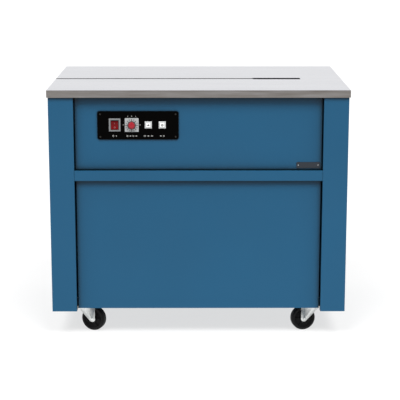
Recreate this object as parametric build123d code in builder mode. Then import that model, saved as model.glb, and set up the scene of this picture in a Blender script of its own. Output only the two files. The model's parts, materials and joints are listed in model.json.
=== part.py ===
from build123d import *
import os
from math import asin, cos, radians, sin, sqrt

# Semi-automatic strapping machine: a sheet-metal cabinet on four swivel casters, with a
# stainless table that has a strap slot, a control panel, a strap reel behind a hinged door
# and a sealing head driven by a belt and a gearbox.
# Millimetres. X runs along the table, +Y to the back, +Z up. The origin is on the floor
# below the middle of the table.

os.makedirs("parts", exist_ok=True)

# ---- driving dimensions -------------------------------------------------------------
TABLE_WIDTH = 900.0
TABLE_DEPTH = 590.0
TABLE_HEIGHT = 760.0
TABLE_EDGE = 22.5          # height of the table's turned-down rim
TABLE_SHEET = 2.0
TABLE_CORNER = 5.0         # plan radius of the table's corners
TABLE_FOLD = 2.4           # outside radius of the fold along the table's rim
BODY_OVERHANG_X = 4.0      # table past the cabinet, each side
BODY_OVERHANG_Y = 5.0

SHEET = 1.5                # cabinet sheet
BEND = 2.0                 # outside bend radius of the cabinet sheet
PILLAR_WIDTH = 75.0
PILLAR_RETURN = 22.0       # depth of the pillar's inner return
PILLAR_SKIRT = 7.5         # pillars reach below the tray
PANEL_RECESS = 12.0        # panels behind the pillars' front plane
PANEL_GAP = 2.0
PANEL_RETURN = 10.0
PANEL_TOP_GAP = 10.0       # upper panels' top edge below the table
UPPER_BAY = 275.5          # rail's underside below the table
RAIL_HEIGHT = 32.5
RAIL_DEPTH = 40.0
RAIL_STEP = 1.0            # rail face behind the pillars' front plane

DOOR_SKIRT = 0.7           # door reaches below the tray
DOOR_RETURN = 15.0
DOOR_SIDE_GAP = 3.0
DOOR_TOP_GAP = 1.5
HINGE_INSET_X = 4.0        # hinge axis from the door's side face
HINGE_INSET_Y = 5.0        # hinge axis from the door's front face
HINGE_PIN_R = 2.0
RUNNING = 0.06             # radial clearance of a pin that turns in its hole

TRAY_SHEET = 2.5
TRAY_FLANGE = 25.0
TRAY_SETBACK = 29.0        # tray edge behind the pillars' front plane

FRAME_ANGLE = 30.0
FRAME_SHEET = 3.0

SLOT_Y = -32.0
SLOT_WIDTH = 15.0
HEAD_OPEN_LEFT = 171.0
HEAD_OPEN_RIGHT = 320.0
HEAD_OPEN_WIDTH = 32.0
CHANNEL_SHEET = 1.5
CHANNEL_DEPTH = 14.0

PLATE_CENTRE_X = -180.2
PLATE_DROP = 107.6         # plate's middle below the table
PLATE_WIDTH = 241.0
PLATE_HEIGHT = 84.7
PLATE_THICK = 3.0
PLATE_CORNER = 6.0
PLATE_SCREW_DX = 112.0
PLATE_SCREW_DZ = 34.0
CONTROL_ROW_RISE = 1.6     # controls above the plate's middle
BOX_DEPTH = 76.0
BOX_SHEET = 1.2

SWITCH_X = -249.2
SWITCH_WIDTH = 34.5
SWITCH_HEIGHT = 38.9
SWITCH_PROUD = 2.6
ROCKER_WIDTH = 21.6
ROCKER_RADIUS = 13.4       # sweep radius of the rocker's ends about its pivot
ROCKER_TILT = 8.0          # resting tilt either way, degrees
TIMER_X = -198.6
TIMER_SIZE = 41.0
TIMER_PROUD = 2.0
KNOB_RADIUS = 10.2
KNOB_HEIGHT = 10.0
KNOB_FLUTES = 18
BUTTON_XS = (-149.3, -107.8)
BUTTON_SIZE = 20.8
BUTTON_PROUD = 3.0
BUTTON_CAP = 13.0
BUTTON_CAP_PROUD = 3.0
BUTTON_TRAVEL = 2.5

CASTER_INSET_X = 97.5      # swivel axes from the cabinet's sides
CASTER_INSET_Y = 73.0
CASTER_TRAIL = 25.5
WHEEL_RADIUS = 37.5
WHEEL_WIDTH = 24.0
AXLE_RADIUS = 4.0
FORK_GAP = 28.0            # between the two legs
FORK_SHEET = 2.5
CASTER_PLATE_X = 75.0
CASTER_PLATE_Y = 62.0
CROWN_GAP = 2.0            # fork's crown above the wheel
CASTER_HEAD = 9.0          # crown's underside to the tray's
CASTER_BOLT_DX = 56.0
CASTER_BOLT_DY = 44.0
CASTER_NUT = 3.2           # the fork's crown swings past below the nuts
CASTERS = {                # name: (side in x, side in y, angle of the trail in degrees)
    "front_left": (-1, -1, -20.0),
    "front_right": (1, -1, 192.0),
    "rear_left": (-1, 1, 28.0),
    "rear_right": (1, 1, 160.0),
}

REEL_X = -190.0
REEL_FLOOR_GAP = 21.5      # flange's rim above the tray
REEL_TO_SLOT = 43.0        # reel's rear face in front of the slit
REEL_WIDTH = 157.0         # over both flanges
REEL_FLANGE_R = 190.0
REEL_FLANGE_SHEET = 3.0
REEL_CORE_R = 98.0
REEL_CORE_WALL = 3.0
REEL_HUB_R = 24.0
REEL_SPOKES = 8
REEL_SHAFT_R = 10.0
COIL_R = 165.0
COIL_GAP = 1.0
STAND_SHEET = 6.0
STAND_GAP = 6.0            # from the reel's rear flange to the stand
BRAKE_X = 45.0
BRAKE_PIN_R = 5.0
PAD_GAP = 0.4
BRAKE_ROLLER_R = 14.0
BRAKE_ROLLER_DX = 28.0
BRAKE_ROLLER_DZ = 150.0

MECH_LEFT = 160.0          # outer faces of the mechanism's two end plates
MECH_RIGHT = 338.0
MECH_PLATE = 8.0
MECH_AHEAD = 70.0          # end plates in front of the slit's middle
MECH_BEHIND = 94.0
MECH_HEIGHT = 196.0
MECH_TOP_GAP = 2.0         # end plates below the table's sheet
SHAFT_DROP = 118.0         # camshaft below the table's sheet
SHAFT_R = 9.0
BEARING_R = 19.0
CAM_BASE_R = 22.0
CAM_LOBE_R = 31.3
CAM_WIDTH = 12.0
HEAD_XS = {"left_gripper": 197.0, "press_head": 235.0, "right_gripper": 273.0}
HEAD_SIZE_X = 26.0
HEAD_SIZE_Y = 24.0
HEAD_PLAY = 0.1
HEAD_REST = 10.7           # resting bars below the anvil plate
CAM_CLEARANCE = 0.7
BED_HEIGHT = 51.0
BED_DROP = 17.0            # bed's top below the table's sheet
BED_AHEAD = 35.0
BED_BEHIND = 35.0
CHEEK_BEHIND = 80.0
ANVIL_DROP = 4.5           # anvil plate's underside below the table's sheet
ANVIL_THICK = 3.0
HEATER_SHEET = 0.8
HEATER_GAP = 0.4
GEARBOX_WIDTH = 80.0
GEARBOX_AHEAD = 53.0
GEARBOX_BEHIND = 52.0
GEARBOX_BELOW = 50.0       # below and above the camshaft
GEARBOX_ABOVE = 54.0
WORM_OFFSET = 24.0         # worm above the camshaft
MOTOR_DROP = 122.0         # motor below the camshaft
MOTOR_R = 54.0
MOTOR_LENGTH = 165.0
BELT_OVERHANG = 20.0       # belt's middle behind the gearbox
BELT_WIDTH = 10.0
BELT_DEPTH = 7.0
GEARBOX_PULLEY_R = 40.0    # pitch radii
MOTOR_PULLEY_R = 25.0
FEED_X = 112.0
FEED_DROP = 68.0           # feed roller below the camshaft
FEED_ROLLER_R = 30.0
PINCH_ROLLER_R = 20.0
FEED_NIP = 0.8
FEED_WIDTH = 26.0

GLAND_X = 300.0
GLAND_RISE = 64.0          # gland above the tray
GLAND_BORE_R = 4.5

# ---- places worked out from them ----------------------------------------------------
TABLE_UNDER = TABLE_HEIGHT - TABLE_SHEET
BODY_X = TABLE_WIDTH / 2 - BODY_OVERHANG_X
BODY_Y = TABLE_DEPTH / 2 - BODY_OVERHANG_Y
CASTER_X = BODY_X - CASTER_INSET_X
CASTER_Y = BODY_Y - CASTER_INSET_Y
CROWN_BOTTOM = 2 * WHEEL_RADIUS + CROWN_GAP
TRAY_BOTTOM = CROWN_BOTTOM + CASTER_HEAD
PILLAR_BOTTOM = TRAY_BOTTOM - PILLAR_SKIRT
DOOR_BOTTOM = TRAY_BOTTOM - DOOR_SKIRT
PANEL_TOP = TABLE_HEIGHT - PANEL_TOP_GAP
RAIL_BOTTOM = TABLE_HEIGHT - UPPER_BAY
PLATE_CENTRE_Z = TABLE_HEIGHT - PLATE_DROP
CONTROL_ROW_Z = PLATE_CENTRE_Z + CONTROL_ROW_RISE
PILLAR_INNER = BODY_X - PILLAR_WIDTH
PANEL_FACE = BODY_Y - PANEL_RECESS
PANEL_X = PILLAR_INNER - PANEL_GAP
RAIL_TOP = RAIL_BOTTOM + RAIL_HEIGHT
FRAME_X = BODY_X - SHEET
FRAME_Y = PANEL_FACE - PANEL_RETURN
TRAY_X = BODY_X - SHEET
TRAY_Y = BODY_Y - TRAY_SETBACK
TRAY_TOP = TRAY_BOTTOM + TRAY_SHEET
DOOR_X = PILLAR_INNER - DOOR_SIDE_GAP
DOOR_TOP = RAIL_BOTTOM - DOOR_TOP_GAP
HINGE_X = -DOOR_X + HINGE_INSET_X
HINGE_Y = -PANEL_FACE + HINGE_INSET_Y
PLATE_FACE_Y = -PANEL_FACE - PLATE_THICK
HEAD_OPEN_FRONT = SLOT_Y - HEAD_OPEN_WIDTH / 2
HEAD_OPEN_BACK = SLOT_Y + HEAD_OPEN_WIDTH / 2
MECH_FRONT = SLOT_Y - MECH_AHEAD
MECH_BACK = SLOT_Y + MECH_BEHIND
MECH_TOP = TABLE_UNDER - MECH_TOP_GAP
MECH_BOTTOM = MECH_TOP - MECH_HEIGHT
SHAFT_Z = TABLE_UNDER - SHAFT_DROP
ANVIL_BOTTOM = TABLE_UNDER - ANVIL_DROP
BED_TOP = TABLE_UNDER - BED_DROP
BED_BOTTOM = BED_TOP - BED_HEIGHT
BED_FRONT = SLOT_Y - BED_AHEAD
BED_BACK = SLOT_Y + BED_BEHIND
CHEEK_BACK = SLOT_Y + CHEEK_BEHIND
HEAD_HOME_TOP = ANVIL_BOTTOM - HEAD_REST
HEAD_BOTTOM = SHAFT_Z + CAM_LOBE_R + CAM_CLEARANCE
GEARBOX_LEFT = MECH_RIGHT + MECH_PLATE
GEARBOX_X = GEARBOX_LEFT + GEARBOX_WIDTH / 2
GEARBOX_FRONT = SLOT_Y - GEARBOX_AHEAD
GEARBOX_BACK = SLOT_Y + GEARBOX_BEHIND
GEARBOX_BOTTOM = SHAFT_Z - GEARBOX_BELOW
GEARBOX_TOP = SHAFT_Z + GEARBOX_ABOVE
WORM_Z = SHAFT_Z + WORM_OFFSET
MOTOR_Z = SHAFT_Z - MOTOR_DROP
BELT_PLANE_Y = GEARBOX_BACK + BELT_OVERHANG
FEED_Z = SHAFT_Z - FEED_DROP
REEL_BACK = SLOT_Y - REEL_TO_SLOT
REEL_FRONT = REEL_BACK - REEL_WIDTH
REEL_Z = TRAY_TOP + REEL_FLOOR_GAP + REEL_FLANGE_R
STAND_Y = REEL_BACK + STAND_GAP
GLAND_Z = TRAY_BOTTOM + GLAND_RISE


# ---- helpers ------------------------------------------------------------------------
def slab(x0, x1, y0, y1, z0, z1, mode=Mode.ADD):
    """Adds a block between two corners to the part being built, or cuts it."""
    with Locations(((x0 + x1) / 2, (y0 + y1) / 2, (z0 + z1) / 2)):
        Box(abs(x1 - x0), abs(y1 - y0), abs(z1 - z0), mode=mode)


def rod(centre, axis, radius, length, mode=Mode.ADD):
    """Adds a round bar that starts at centre and runs along +axis, or cuts it."""
    with Locations(Plane(origin=centre, z_dir=axis).location):
        Cylinder(radius, length, align=(Align.CENTER, Align.CENTER, Align.MIN), mode=mode)


def finish(builder, name):
    """Names the finished piece and writes its file."""
    builder.part.label = name
    export_step(builder.part, f"parts/{name}.step")


# ---- cabinet ------------------------------------------------------------------------
def side_panel(side, name):
    """A side wall folded round into a front and a rear pillar, each with an inner return."""
    back = BODY_Y - PILLAR_RETURN
    with BuildPart() as panel:
        with BuildSketch(Plane.XY.offset(PILLAR_BOTTOM)):
            with BuildLine():
                half = SHEET / 2
                inner, outer = side * (PILLAR_INNER + half), side * (BODY_X - half)
                FilletPolyline(
                    (inner, -back), (inner, -BODY_Y + half), (outer, -BODY_Y + half),
                    (outer, BODY_Y - half), (inner, BODY_Y - half), (inner, back),
                    radius=BEND - half)
            trace(line_width=SHEET)
        extrude(amount=TABLE_UNDER - PILLAR_BOTTOM)
        if side < 0:
            slab(-BODY_X - 1, -BODY_X + SHEET + 1, SLOT_Y - SLOT_WIDTH / 2,
                 SLOT_Y + SLOT_WIDTH / 2, TABLE_UNDER - CHANNEL_DEPTH, TABLE_UNDER,
                 mode=Mode.SUBTRACT)
    finish(panel, name)


side_panel(-1, "left_side_panel")
side_panel(1, "right_side_panel")

# Two folded rails tie the pillars together, one at the front and one at the rear.
with BuildPart() as cross_rails:
    for side in (-1, 1):
        face = side * (BODY_Y - RAIL_STEP)
        inner = face - side * RAIL_DEPTH
        with BuildSketch(Plane.YZ.offset(-PILLAR_INNER)):
            with BuildLine():
                half = SHEET / 2
                FilletPolyline(
                    (inner, RAIL_BOTTOM + half), (face - side * half, RAIL_BOTTOM + half),
                    (face - side * half, RAIL_TOP - half), (inner, RAIL_TOP - half),
                    radius=BEND - half)
            trace(line_width=SHEET)
        extrude(amount=2 * PILLAR_INNER)
    rod((HINGE_X, HINGE_Y, RAIL_BOTTOM - 1), (0, 0, 1), HINGE_PIN_R, SHEET + 2,
        mode=Mode.SUBTRACT)
finish(cross_rails, "cross_rails")


def panel_pan(x0, x1, z0, z1, side, depth):
    """Adds the outer block of a panel whose four edges are folded inwards."""
    face = side * PANEL_FACE
    slab(x0, x1, face, face - side * depth, z0, z1)


with BuildPart() as upper_front_panel:
    panel_pan(-PANEL_X, PANEL_X, RAIL_TOP + PANEL_GAP, PANEL_TOP, -1, PANEL_RETURN)
    fillet(upper_front_panel.edges().filter_by(Axis.Z).group_by(Axis.Y)[0], BEND)
    offset(amount=-SHEET, openings=upper_front_panel.faces().sort_by(Axis.Y)[-1])
    with BuildSketch(Plane.XZ.offset(PANEL_FACE)):
        with Locations((PLATE_CENTRE_X, PLATE_CENTRE_Z)):
            RectangleRounded(PLATE_WIDTH - 30, PLATE_HEIGHT - 26, 3)
    extrude(amount=-SHEET, mode=Mode.SUBTRACT)
finish(upper_front_panel, "upper_front_panel")

with BuildPart() as rear_upper_panel:
    panel_pan(-PANEL_X, PANEL_X, RAIL_TOP + PANEL_GAP, PANEL_TOP, 1, PANEL_RETURN)
    fillet(rear_upper_panel.edges().filter_by(Axis.Z).group_by(Axis.Y)[-1], BEND)
    offset(amount=-SHEET, openings=rear_upper_panel.faces().sort_by(Axis.Y)[0])
    with BuildSketch(Plane.XZ.offset(-PANEL_FACE)):
        with Locations((0, (RAIL_TOP + PANEL_TOP) / 2)):
            with GridLocations(150, 18, 4, 7):
                SlotOverall(110, 5)
    extrude(amount=SHEET, mode=Mode.SUBTRACT)
finish(rear_upper_panel, "rear_upper_panel")

with BuildPart() as rear_lower_panel:
    panel_pan(-PANEL_X, PANEL_X, DOOR_BOTTOM + SHEET, RAIL_BOTTOM - PANEL_GAP, 1,
              PANEL_FACE - TRAY_Y)
    fillet(rear_lower_panel.edges().filter_by(Axis.Z).group_by(Axis.Y)[-1], BEND)
    offset(amount=-SHEET, openings=rear_lower_panel.faces().sort_by(Axis.Y)[0])
    rod((GLAND_X, PANEL_FACE - 2 * SHEET, GLAND_Z), (0, 1, 0), GLAND_BORE_R + 3.6, 3 * SHEET,
        mode=Mode.SUBTRACT)
finish(rear_lower_panel, "rear_lower_panel")

# Base tray with upturned flanges: it carries the casters, the reel stand and the catches.
with BuildPart() as base_tray:
    slab(-TRAY_X, TRAY_X, -TRAY_Y, TRAY_Y, TRAY_BOTTOM, TRAY_BOTTOM + TRAY_FLANGE)
    offset(amount=-TRAY_SHEET, openings=base_tray.faces().sort_by(Axis.Z)[-1])
    for sx in (-1, 1):
        for sy in (-1, 1):
            with Locations((sx * CASTER_X, sy * CASTER_Y, TRAY_BOTTOM + TRAY_SHEET / 2)):
                with GridLocations(CASTER_BOLT_DX, CASTER_BOLT_DY, 2, 2):
                    Cylinder(4.2, 2 * TRAY_SHEET, mode=Mode.SUBTRACT)
finish(base_tray, "base_tray")

# Welded angle frame below the table, with two cross bars that carry the sealing head.
with BuildPart() as top_frame:
    low = TABLE_UNDER - FRAME_ANGLE
    slab(-FRAME_X, FRAME_X, -FRAME_Y, FRAME_Y, low, TABLE_UNDER)
    slab(-FRAME_X + FRAME_SHEET, FRAME_X - FRAME_SHEET, -FRAME_Y + FRAME_SHEET,
         FRAME_Y - FRAME_SHEET, low, TABLE_UNDER - FRAME_SHEET, mode=Mode.SUBTRACT)
    slab(-FRAME_X + FRAME_ANGLE, FRAME_X - FRAME_ANGLE, -FRAME_Y + FRAME_ANGLE,
         FRAME_Y - FRAME_ANGLE, low, TABLE_UNDER, mode=Mode.SUBTRACT)
    for face, way in ((MECH_LEFT, -1), (MECH_RIGHT, 1)):
        slab(face, face + way * FRAME_SHEET, -FRAME_Y + FRAME_SHEET, FRAME_Y - FRAME_SHEET,
             low, TABLE_UNDER)
        slab(face, face + way * FRAME_ANGLE, -FRAME_Y + FRAME_SHEET, FRAME_Y - FRAME_SHEET,
             TABLE_UNDER - FRAME_SHEET, TABLE_UNDER)
    gap = SLOT_WIDTH / 2 + CHANNEL_SHEET + 1
    slab(-FRAME_X - 1, MECH_LEFT + 1, SLOT_Y - gap, SLOT_Y + gap,
         TABLE_UNDER - CHANNEL_DEPTH - CHANNEL_SHEET - 1, TABLE_UNDER, mode=Mode.SUBTRACT)
finish(top_frame, "top_frame")

# Stainless table: one folded sheet, slit from its left edge to the head opening.
with BuildPart() as table_top:
    with BuildSketch(Plane.XY.offset(TABLE_HEIGHT - TABLE_EDGE)):
        RectangleRounded(TABLE_WIDTH, TABLE_DEPTH, TABLE_CORNER)
    extrude(amount=TABLE_EDGE)
    fillet(table_top.faces().sort_by(Axis.Z)[-1].edges(), TABLE_FOLD)
    offset(amount=-TABLE_SHEET, openings=table_top.faces().sort_by(Axis.Z)[0])
    slab(-TABLE_WIDTH / 2 - 1, HEAD_OPEN_LEFT + 1, SLOT_Y - SLOT_WIDTH / 2,
         SLOT_Y + SLOT_WIDTH / 2, TABLE_HEIGHT - TABLE_EDGE - 1, TABLE_HEIGHT + 1,
         mode=Mode.SUBTRACT)
    with BuildSketch(Plane.XY.offset(TABLE_UNDER - 1)):
        with Locations(((HEAD_OPEN_LEFT + HEAD_OPEN_RIGHT) / 2, SLOT_Y)):
            RectangleRounded(HEAD_OPEN_RIGHT - HEAD_OPEN_LEFT, HEAD_OPEN_WIDTH, 2.5)
    extrude(amount=TABLE_SHEET + 2, mode=Mode.SUBTRACT)
finish(table_top, "table_top")

# Channel below the slit, which holds the strap level with the table.
with BuildPart() as strap_guide_channel:
    wide = SLOT_WIDTH / 2 + CHANNEL_SHEET
    slab(-FRAME_X, MECH_LEFT, SLOT_Y - wide, SLOT_Y + wide,
         TABLE_UNDER - CHANNEL_DEPTH - CHANNEL_SHEET, TABLE_UNDER)
    slab(-FRAME_X - 1, MECH_LEFT + 1, SLOT_Y - SLOT_WIDTH / 2, SLOT_Y + SLOT_WIDTH / 2,
         TABLE_UNDER - CHANNEL_DEPTH, TABLE_UNDER + 1, mode=Mode.SUBTRACT)
    slab(FEED_X - 12, FEED_X + 12, SLOT_Y - SLOT_WIDTH / 2, SLOT_Y + SLOT_WIDTH / 2,
         TABLE_UNDER - CHANNEL_DEPTH - CHANNEL_SHEET - 1, TABLE_UNDER, mode=Mode.SUBTRACT)
finish(strap_guide_channel, "strap_guide_channel")


# ---- door ---------------------------------------------------------------------------
with BuildPart() as front_door:
    panel_pan(-DOOR_X, DOOR_X, DOOR_BOTTOM, DOOR_TOP, -1, DOOR_RETURN)
    fillet(front_door.edges().filter_by(Axis.Z).group_by(Axis.Y)[0], BEND)
    offset(amount=-SHEET, openings=front_door.faces().sort_by(Axis.Y)[-1])
    rod((HINGE_X, HINGE_Y, DOOR_BOTTOM - 1), (0, 0, 1), HINGE_PIN_R + RUNNING,
        DOOR_TOP - DOOR_BOTTOM + 2, mode=Mode.SUBTRACT)
finish(front_door, "front_door")

# The upper pin hangs through the rail's lower flange; the lower one stands on a tab.
with BuildPart() as door_hinge_pins:
    rod((HINGE_X, HINGE_Y, DOOR_TOP - 2 * SHEET), (0, 0, 1), HINGE_PIN_R,
        RAIL_BOTTOM + SHEET - DOOR_TOP + 2 * SHEET)
    rod((HINGE_X, HINGE_Y, RAIL_BOTTOM + SHEET), (0, 0, 1), 2 * HINGE_PIN_R, SHEET)
    tab_top = DOOR_BOTTOM - 0.3
    slab(-PILLAR_INNER + 1, HINGE_X + 14, -PANEL_FACE + 1, -TRAY_Y + 3.5, tab_top - 2.5, tab_top)
    slab(-PILLAR_INNER + 1, HINGE_X + 14, -TRAY_Y, -TRAY_Y + 3.5, tab_top, TRAY_BOTTOM)
    rod((HINGE_X, HINGE_Y, tab_top), (0, 0, 1), HINGE_PIN_R, 2 * SHEET + 0.5)
finish(door_hinge_pins, "door_hinge_pins")

# Two magnetic catches hold the door's free side.
with BuildPart() as door_catches:
    catch_x = DOOR_X - 50
    slab(catch_x - 20, catch_x + 20, -PANEL_FACE + SHEET + 0.3, -TRAY_Y,
         TRAY_TOP + 3, TRAY_BOTTOM + TRAY_FLANGE - 2)
    slab(catch_x - 20, catch_x + 20, -PANEL_FACE + DOOR_RETURN + 0.3,
         -BODY_Y + RAIL_STEP + RAIL_DEPTH, RAIL_BOTTOM - 14, RAIL_BOTTOM)
finish(door_catches, "door_catches")


# ---- casters ------------------------------------------------------------------------
CASTER_TOP = TRAY_BOTTOM
MOUNT_SHEET = 2.5
CROWN_TOP = CROWN_BOTTOM + FORK_SHEET
CUP_TOP = CROWN_TOP + 1.5
CUP_R = 19.0
RACE_R = 17.0
KINGPIN_R = 5.0
LEG_TOP_BACK = 23.0        # fork behind the swivel axis
LEG_R = 9.0                # rounding of the fork leg about the axle

with BuildPart() as caster_plates:
    for sx, sy, _ in CASTERS.values():
        x, y = sx * CASTER_X, sy * CASTER_Y
        slab(x - CASTER_PLATE_X / 2, x + CASTER_PLATE_X / 2, y - CASTER_PLATE_Y / 2,
             y + CASTER_PLATE_Y / 2, CASTER_TOP - MOUNT_SHEET, CASTER_TOP)
        rod((x, y, CUP_TOP + 0.3), (0, 0, 1), RACE_R, CASTER_TOP - MOUNT_SHEET - CUP_TOP - 0.3)
        rod((x, y, CROWN_BOTTOM - 3.5), (0, 0, 1), KINGPIN_R, CUP_TOP + 1 - CROWN_BOTTOM + 3.5)
        rod((x, y, CROWN_BOTTOM - 3.5), (0, 0, 1), KINGPIN_R + 3, 3.2)
        with Locations((x, y, CASTER_TOP)):
            with GridLocations(CASTER_BOLT_DX, CASTER_BOLT_DY, 2, 2):
                Cylinder(4.2, 4 * MOUNT_SHEET, mode=Mode.SUBTRACT)
finish(caster_plates, "caster_plates")

with BuildPart() as caster_bolts:
    for sx, sy, _ in CASTERS.values():
        for bolt in GridLocations(CASTER_BOLT_DX, CASTER_BOLT_DY, 2, 2).locations:
            x = sx * CASTER_X + bolt.position.X
            y = sy * CASTER_Y + bolt.position.Y
            with BuildSketch(Plane.XY.offset(TRAY_TOP)):
                with Locations((x, y)):
                    RegularPolygon(6.5, 6)
            extrude(amount=4.5)
            rod((x, y, CASTER_TOP - MOUNT_SHEET - CASTER_NUT), (0, 0, 1), 4.0,
                TRAY_TOP - CASTER_TOP + MOUNT_SHEET + CASTER_NUT)
            with BuildSketch(Plane.XY.offset(CASTER_TOP - MOUNT_SHEET - CASTER_NUT)):
                with Locations((x, y)):
                    RegularPolygon(6.2, 6)
            extrude(amount=CASTER_NUT)
finish(caster_bolts, "caster_bolts")


def caster(name, side_x, side_y, trail_angle):
    """A swivelling fork with its axle, and the wheel that turns in it."""
    turn = radians(trail_angle)
    along = Vector(cos(turn), sin(turn), 0)
    across = Vector(sin(turn), -cos(turn), 0)
    swivel = Vector(side_x * CASTER_X, side_y * CASTER_Y, 0)
    axle = swivel + along * CASTER_TRAIL + Vector(0, 0, WHEEL_RADIUS)
    upright = Plane(origin=axle, x_dir=along, z_dir=across)
    level = Plane(origin=swivel, x_dir=along, z_dir=(0, 0, 1))
    crown = CROWN_TOP - WHEEL_RADIUS
    behind = -CASTER_TRAIL - LEG_TOP_BACK
    outside = FORK_GAP / 2 + FORK_SHEET

    with BuildPart() as fork:
        for start in (FORK_GAP / 2, -outside):
            with BuildSketch(upright.offset(start)):
                Circle(LEG_R)
                with BuildLine():
                    Polyline((LEG_R, 0), (LEG_R, crown), (behind, crown), (behind, crown - 7),
                             (-LEG_R * sin(radians(48)), -LEG_R * cos(radians(48))), close=True)
                make_face()
                Circle(AXLE_RADIUS + 0.05, mode=Mode.SUBTRACT)
            extrude(amount=FORK_SHEET)
        with BuildSketch(level.offset(CROWN_BOTTOM)):
            with Locations(((LEG_R + behind) / 2 + CASTER_TRAIL, 0)):
                Rectangle(LEG_R - behind, 2 * outside)
        extrude(amount=FORK_SHEET)
        with BuildSketch(level.offset(CROWN_TOP)):
            Circle(CUP_R)
        extrude(amount=CUP_TOP - CROWN_TOP)
        with BuildSketch(level.offset(CROWN_BOTTOM)):
            Circle(KINGPIN_R + RUNNING)
        extrude(amount=CUP_TOP - CROWN_BOTTOM, mode=Mode.SUBTRACT)
        # The axle: a bolt with a domed head on one side and a nut on the other.
        with BuildSketch(upright.offset(-outside - 6)):
            Circle(AXLE_RADIUS)
        extrude(amount=2 * outside + 6)
        with BuildSketch(upright.offset(outside)):
            Circle(AXLE_RADIUS + 2.2)
        extrude(amount=2.2, taper=25)
        with BuildSketch(upright.offset(-outside - 5)):
            RegularPolygon(AXLE_RADIUS + 2.8, 6)
        extrude(amount=5)
    finish(fork, f"{name}_caster_fork")

    with BuildPart() as wheel:
        with BuildSketch(Plane(origin=axle, x_dir=across, z_dir=-along)):
            half = WHEEL_WIDTH / 2
            hub = FORK_GAP / 2 - 0.5
            bore = AXLE_RADIUS + RUNNING
            with BuildLine():
                Line((-hub, bore), (-hub, 11))
                Polyline((-hub, 11), (-half + 4, 12.5), (-half + 4, 26.5), (-half, 28.5),
                         (-half, WHEEL_RADIUS - 5))
                ThreePointArc((-half, WHEEL_RADIUS - 5), (-half + 1.9, WHEEL_RADIUS - 1.4),
                              (-half + 6, WHEEL_RADIUS))
                Line((-half + 6, WHEEL_RADIUS), (half - 6, WHEEL_RADIUS))
                ThreePointArc((half - 6, WHEEL_RADIUS), (half - 1.9, WHEEL_RADIUS - 1.4),
                              (half, WHEEL_RADIUS - 5))
                Polyline((half, WHEEL_RADIUS - 5), (half, 28.5), (half - 4, 26.5),
                         (half - 4, 12.5), (hub, 11), (hub, bore), (-hub, bore))
            make_face()
        revolve(axis=Axis(axle, across))
    finish(wheel, f"{name}_wheel")


for caster_name, (side_x, side_y, trail_angle) in CASTERS.items():
    caster(caster_name, side_x, side_y, trail_angle)


# ---- control panel ------------------------------------------------------------------
SWITCH_HOLE = (ROCKER_WIDTH + 4.4, 2 * ROCKER_RADIUS + 4.4)
TIMER_HOLE = TIMER_SIZE - 5
BUTTON_HOLE = BUTTON_CAP + 4

with BuildPart() as control_plate:
    with BuildSketch(Plane.XZ.offset(PANEL_FACE)):
        with Locations((PLATE_CENTRE_X, PLATE_CENTRE_Z)):
            RectangleRounded(PLATE_WIDTH, PLATE_HEIGHT, PLATE_CORNER)
        with Locations((SWITCH_X, CONTROL_ROW_Z)):
            Rectangle(*SWITCH_HOLE, mode=Mode.SUBTRACT)
        with Locations((TIMER_X, CONTROL_ROW_Z)):
            Rectangle(TIMER_HOLE, TIMER_HOLE, mode=Mode.SUBTRACT)
        with Locations(*[(x, CONTROL_ROW_Z) for x in BUTTON_XS]):
            Rectangle(BUTTON_HOLE, BUTTON_HOLE, mode=Mode.SUBTRACT)
        with Locations((PLATE_CENTRE_X, PLATE_CENTRE_Z)):
            with GridLocations(2 * PLATE_SCREW_DX, 2 * PLATE_SCREW_DZ, 2, 2):
                Circle(1.8, mode=Mode.SUBTRACT)
    extrude(amount=PLATE_THICK)
    outer = control_plate.faces().sort_by(Axis.Y)[0].outer_wire().edges()
    chamfer(outer, 0.8)
finish(control_plate, "control_plate")

with BuildPart() as control_plate_screws:
    for dx in (-PLATE_SCREW_DX, PLATE_SCREW_DX):
        for dz in (-PLATE_SCREW_DZ, PLATE_SCREW_DZ):
            x, z = PLATE_CENTRE_X + dx, PLATE_CENTRE_Z + dz
            rod((x, -PANEL_FACE, z), (0, -1, 0), 1.6, PLATE_THICK)
            with BuildSketch(Plane.XZ.offset(-PLATE_FACE_Y)):
                with Locations((x, z)):
                    Circle(3.0)
            extrude(amount=1.4, taper=30)
    screw_heads = control_plate_screws.faces().sort_by(Axis.Y)[:4]
    for head in screw_heads:
        place = head.center()
        slab(place.X - 2.2, place.X + 2.2, place.Y - 1, place.Y + 0.7, place.Z - 0.35,
             place.Z + 0.35, mode=Mode.SUBTRACT)
        slab(place.X - 0.35, place.X + 0.35, place.Y - 1, place.Y + 0.7, place.Z - 2.2,
             place.Z + 2.2, mode=Mode.SUBTRACT)
finish(control_plate_screws, "control_plate_screws")

# Sheet box on the back of the upper front panel, open towards the controls.
with BuildPart() as control_box:
    box_front = -PANEL_FACE + SHEET
    slab(PLATE_CENTRE_X - PLATE_WIDTH / 2, PLATE_CENTRE_X + PLATE_WIDTH / 2, box_front,
         box_front + BOX_DEPTH, PLATE_CENTRE_Z - PLATE_HEIGHT / 2,
         PLATE_CENTRE_Z + PLATE_HEIGHT / 2)
    offset(amount=-BOX_SHEET, openings=control_box.faces().sort_by(Axis.Y)[0])
finish(control_box, "control_box")

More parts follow.
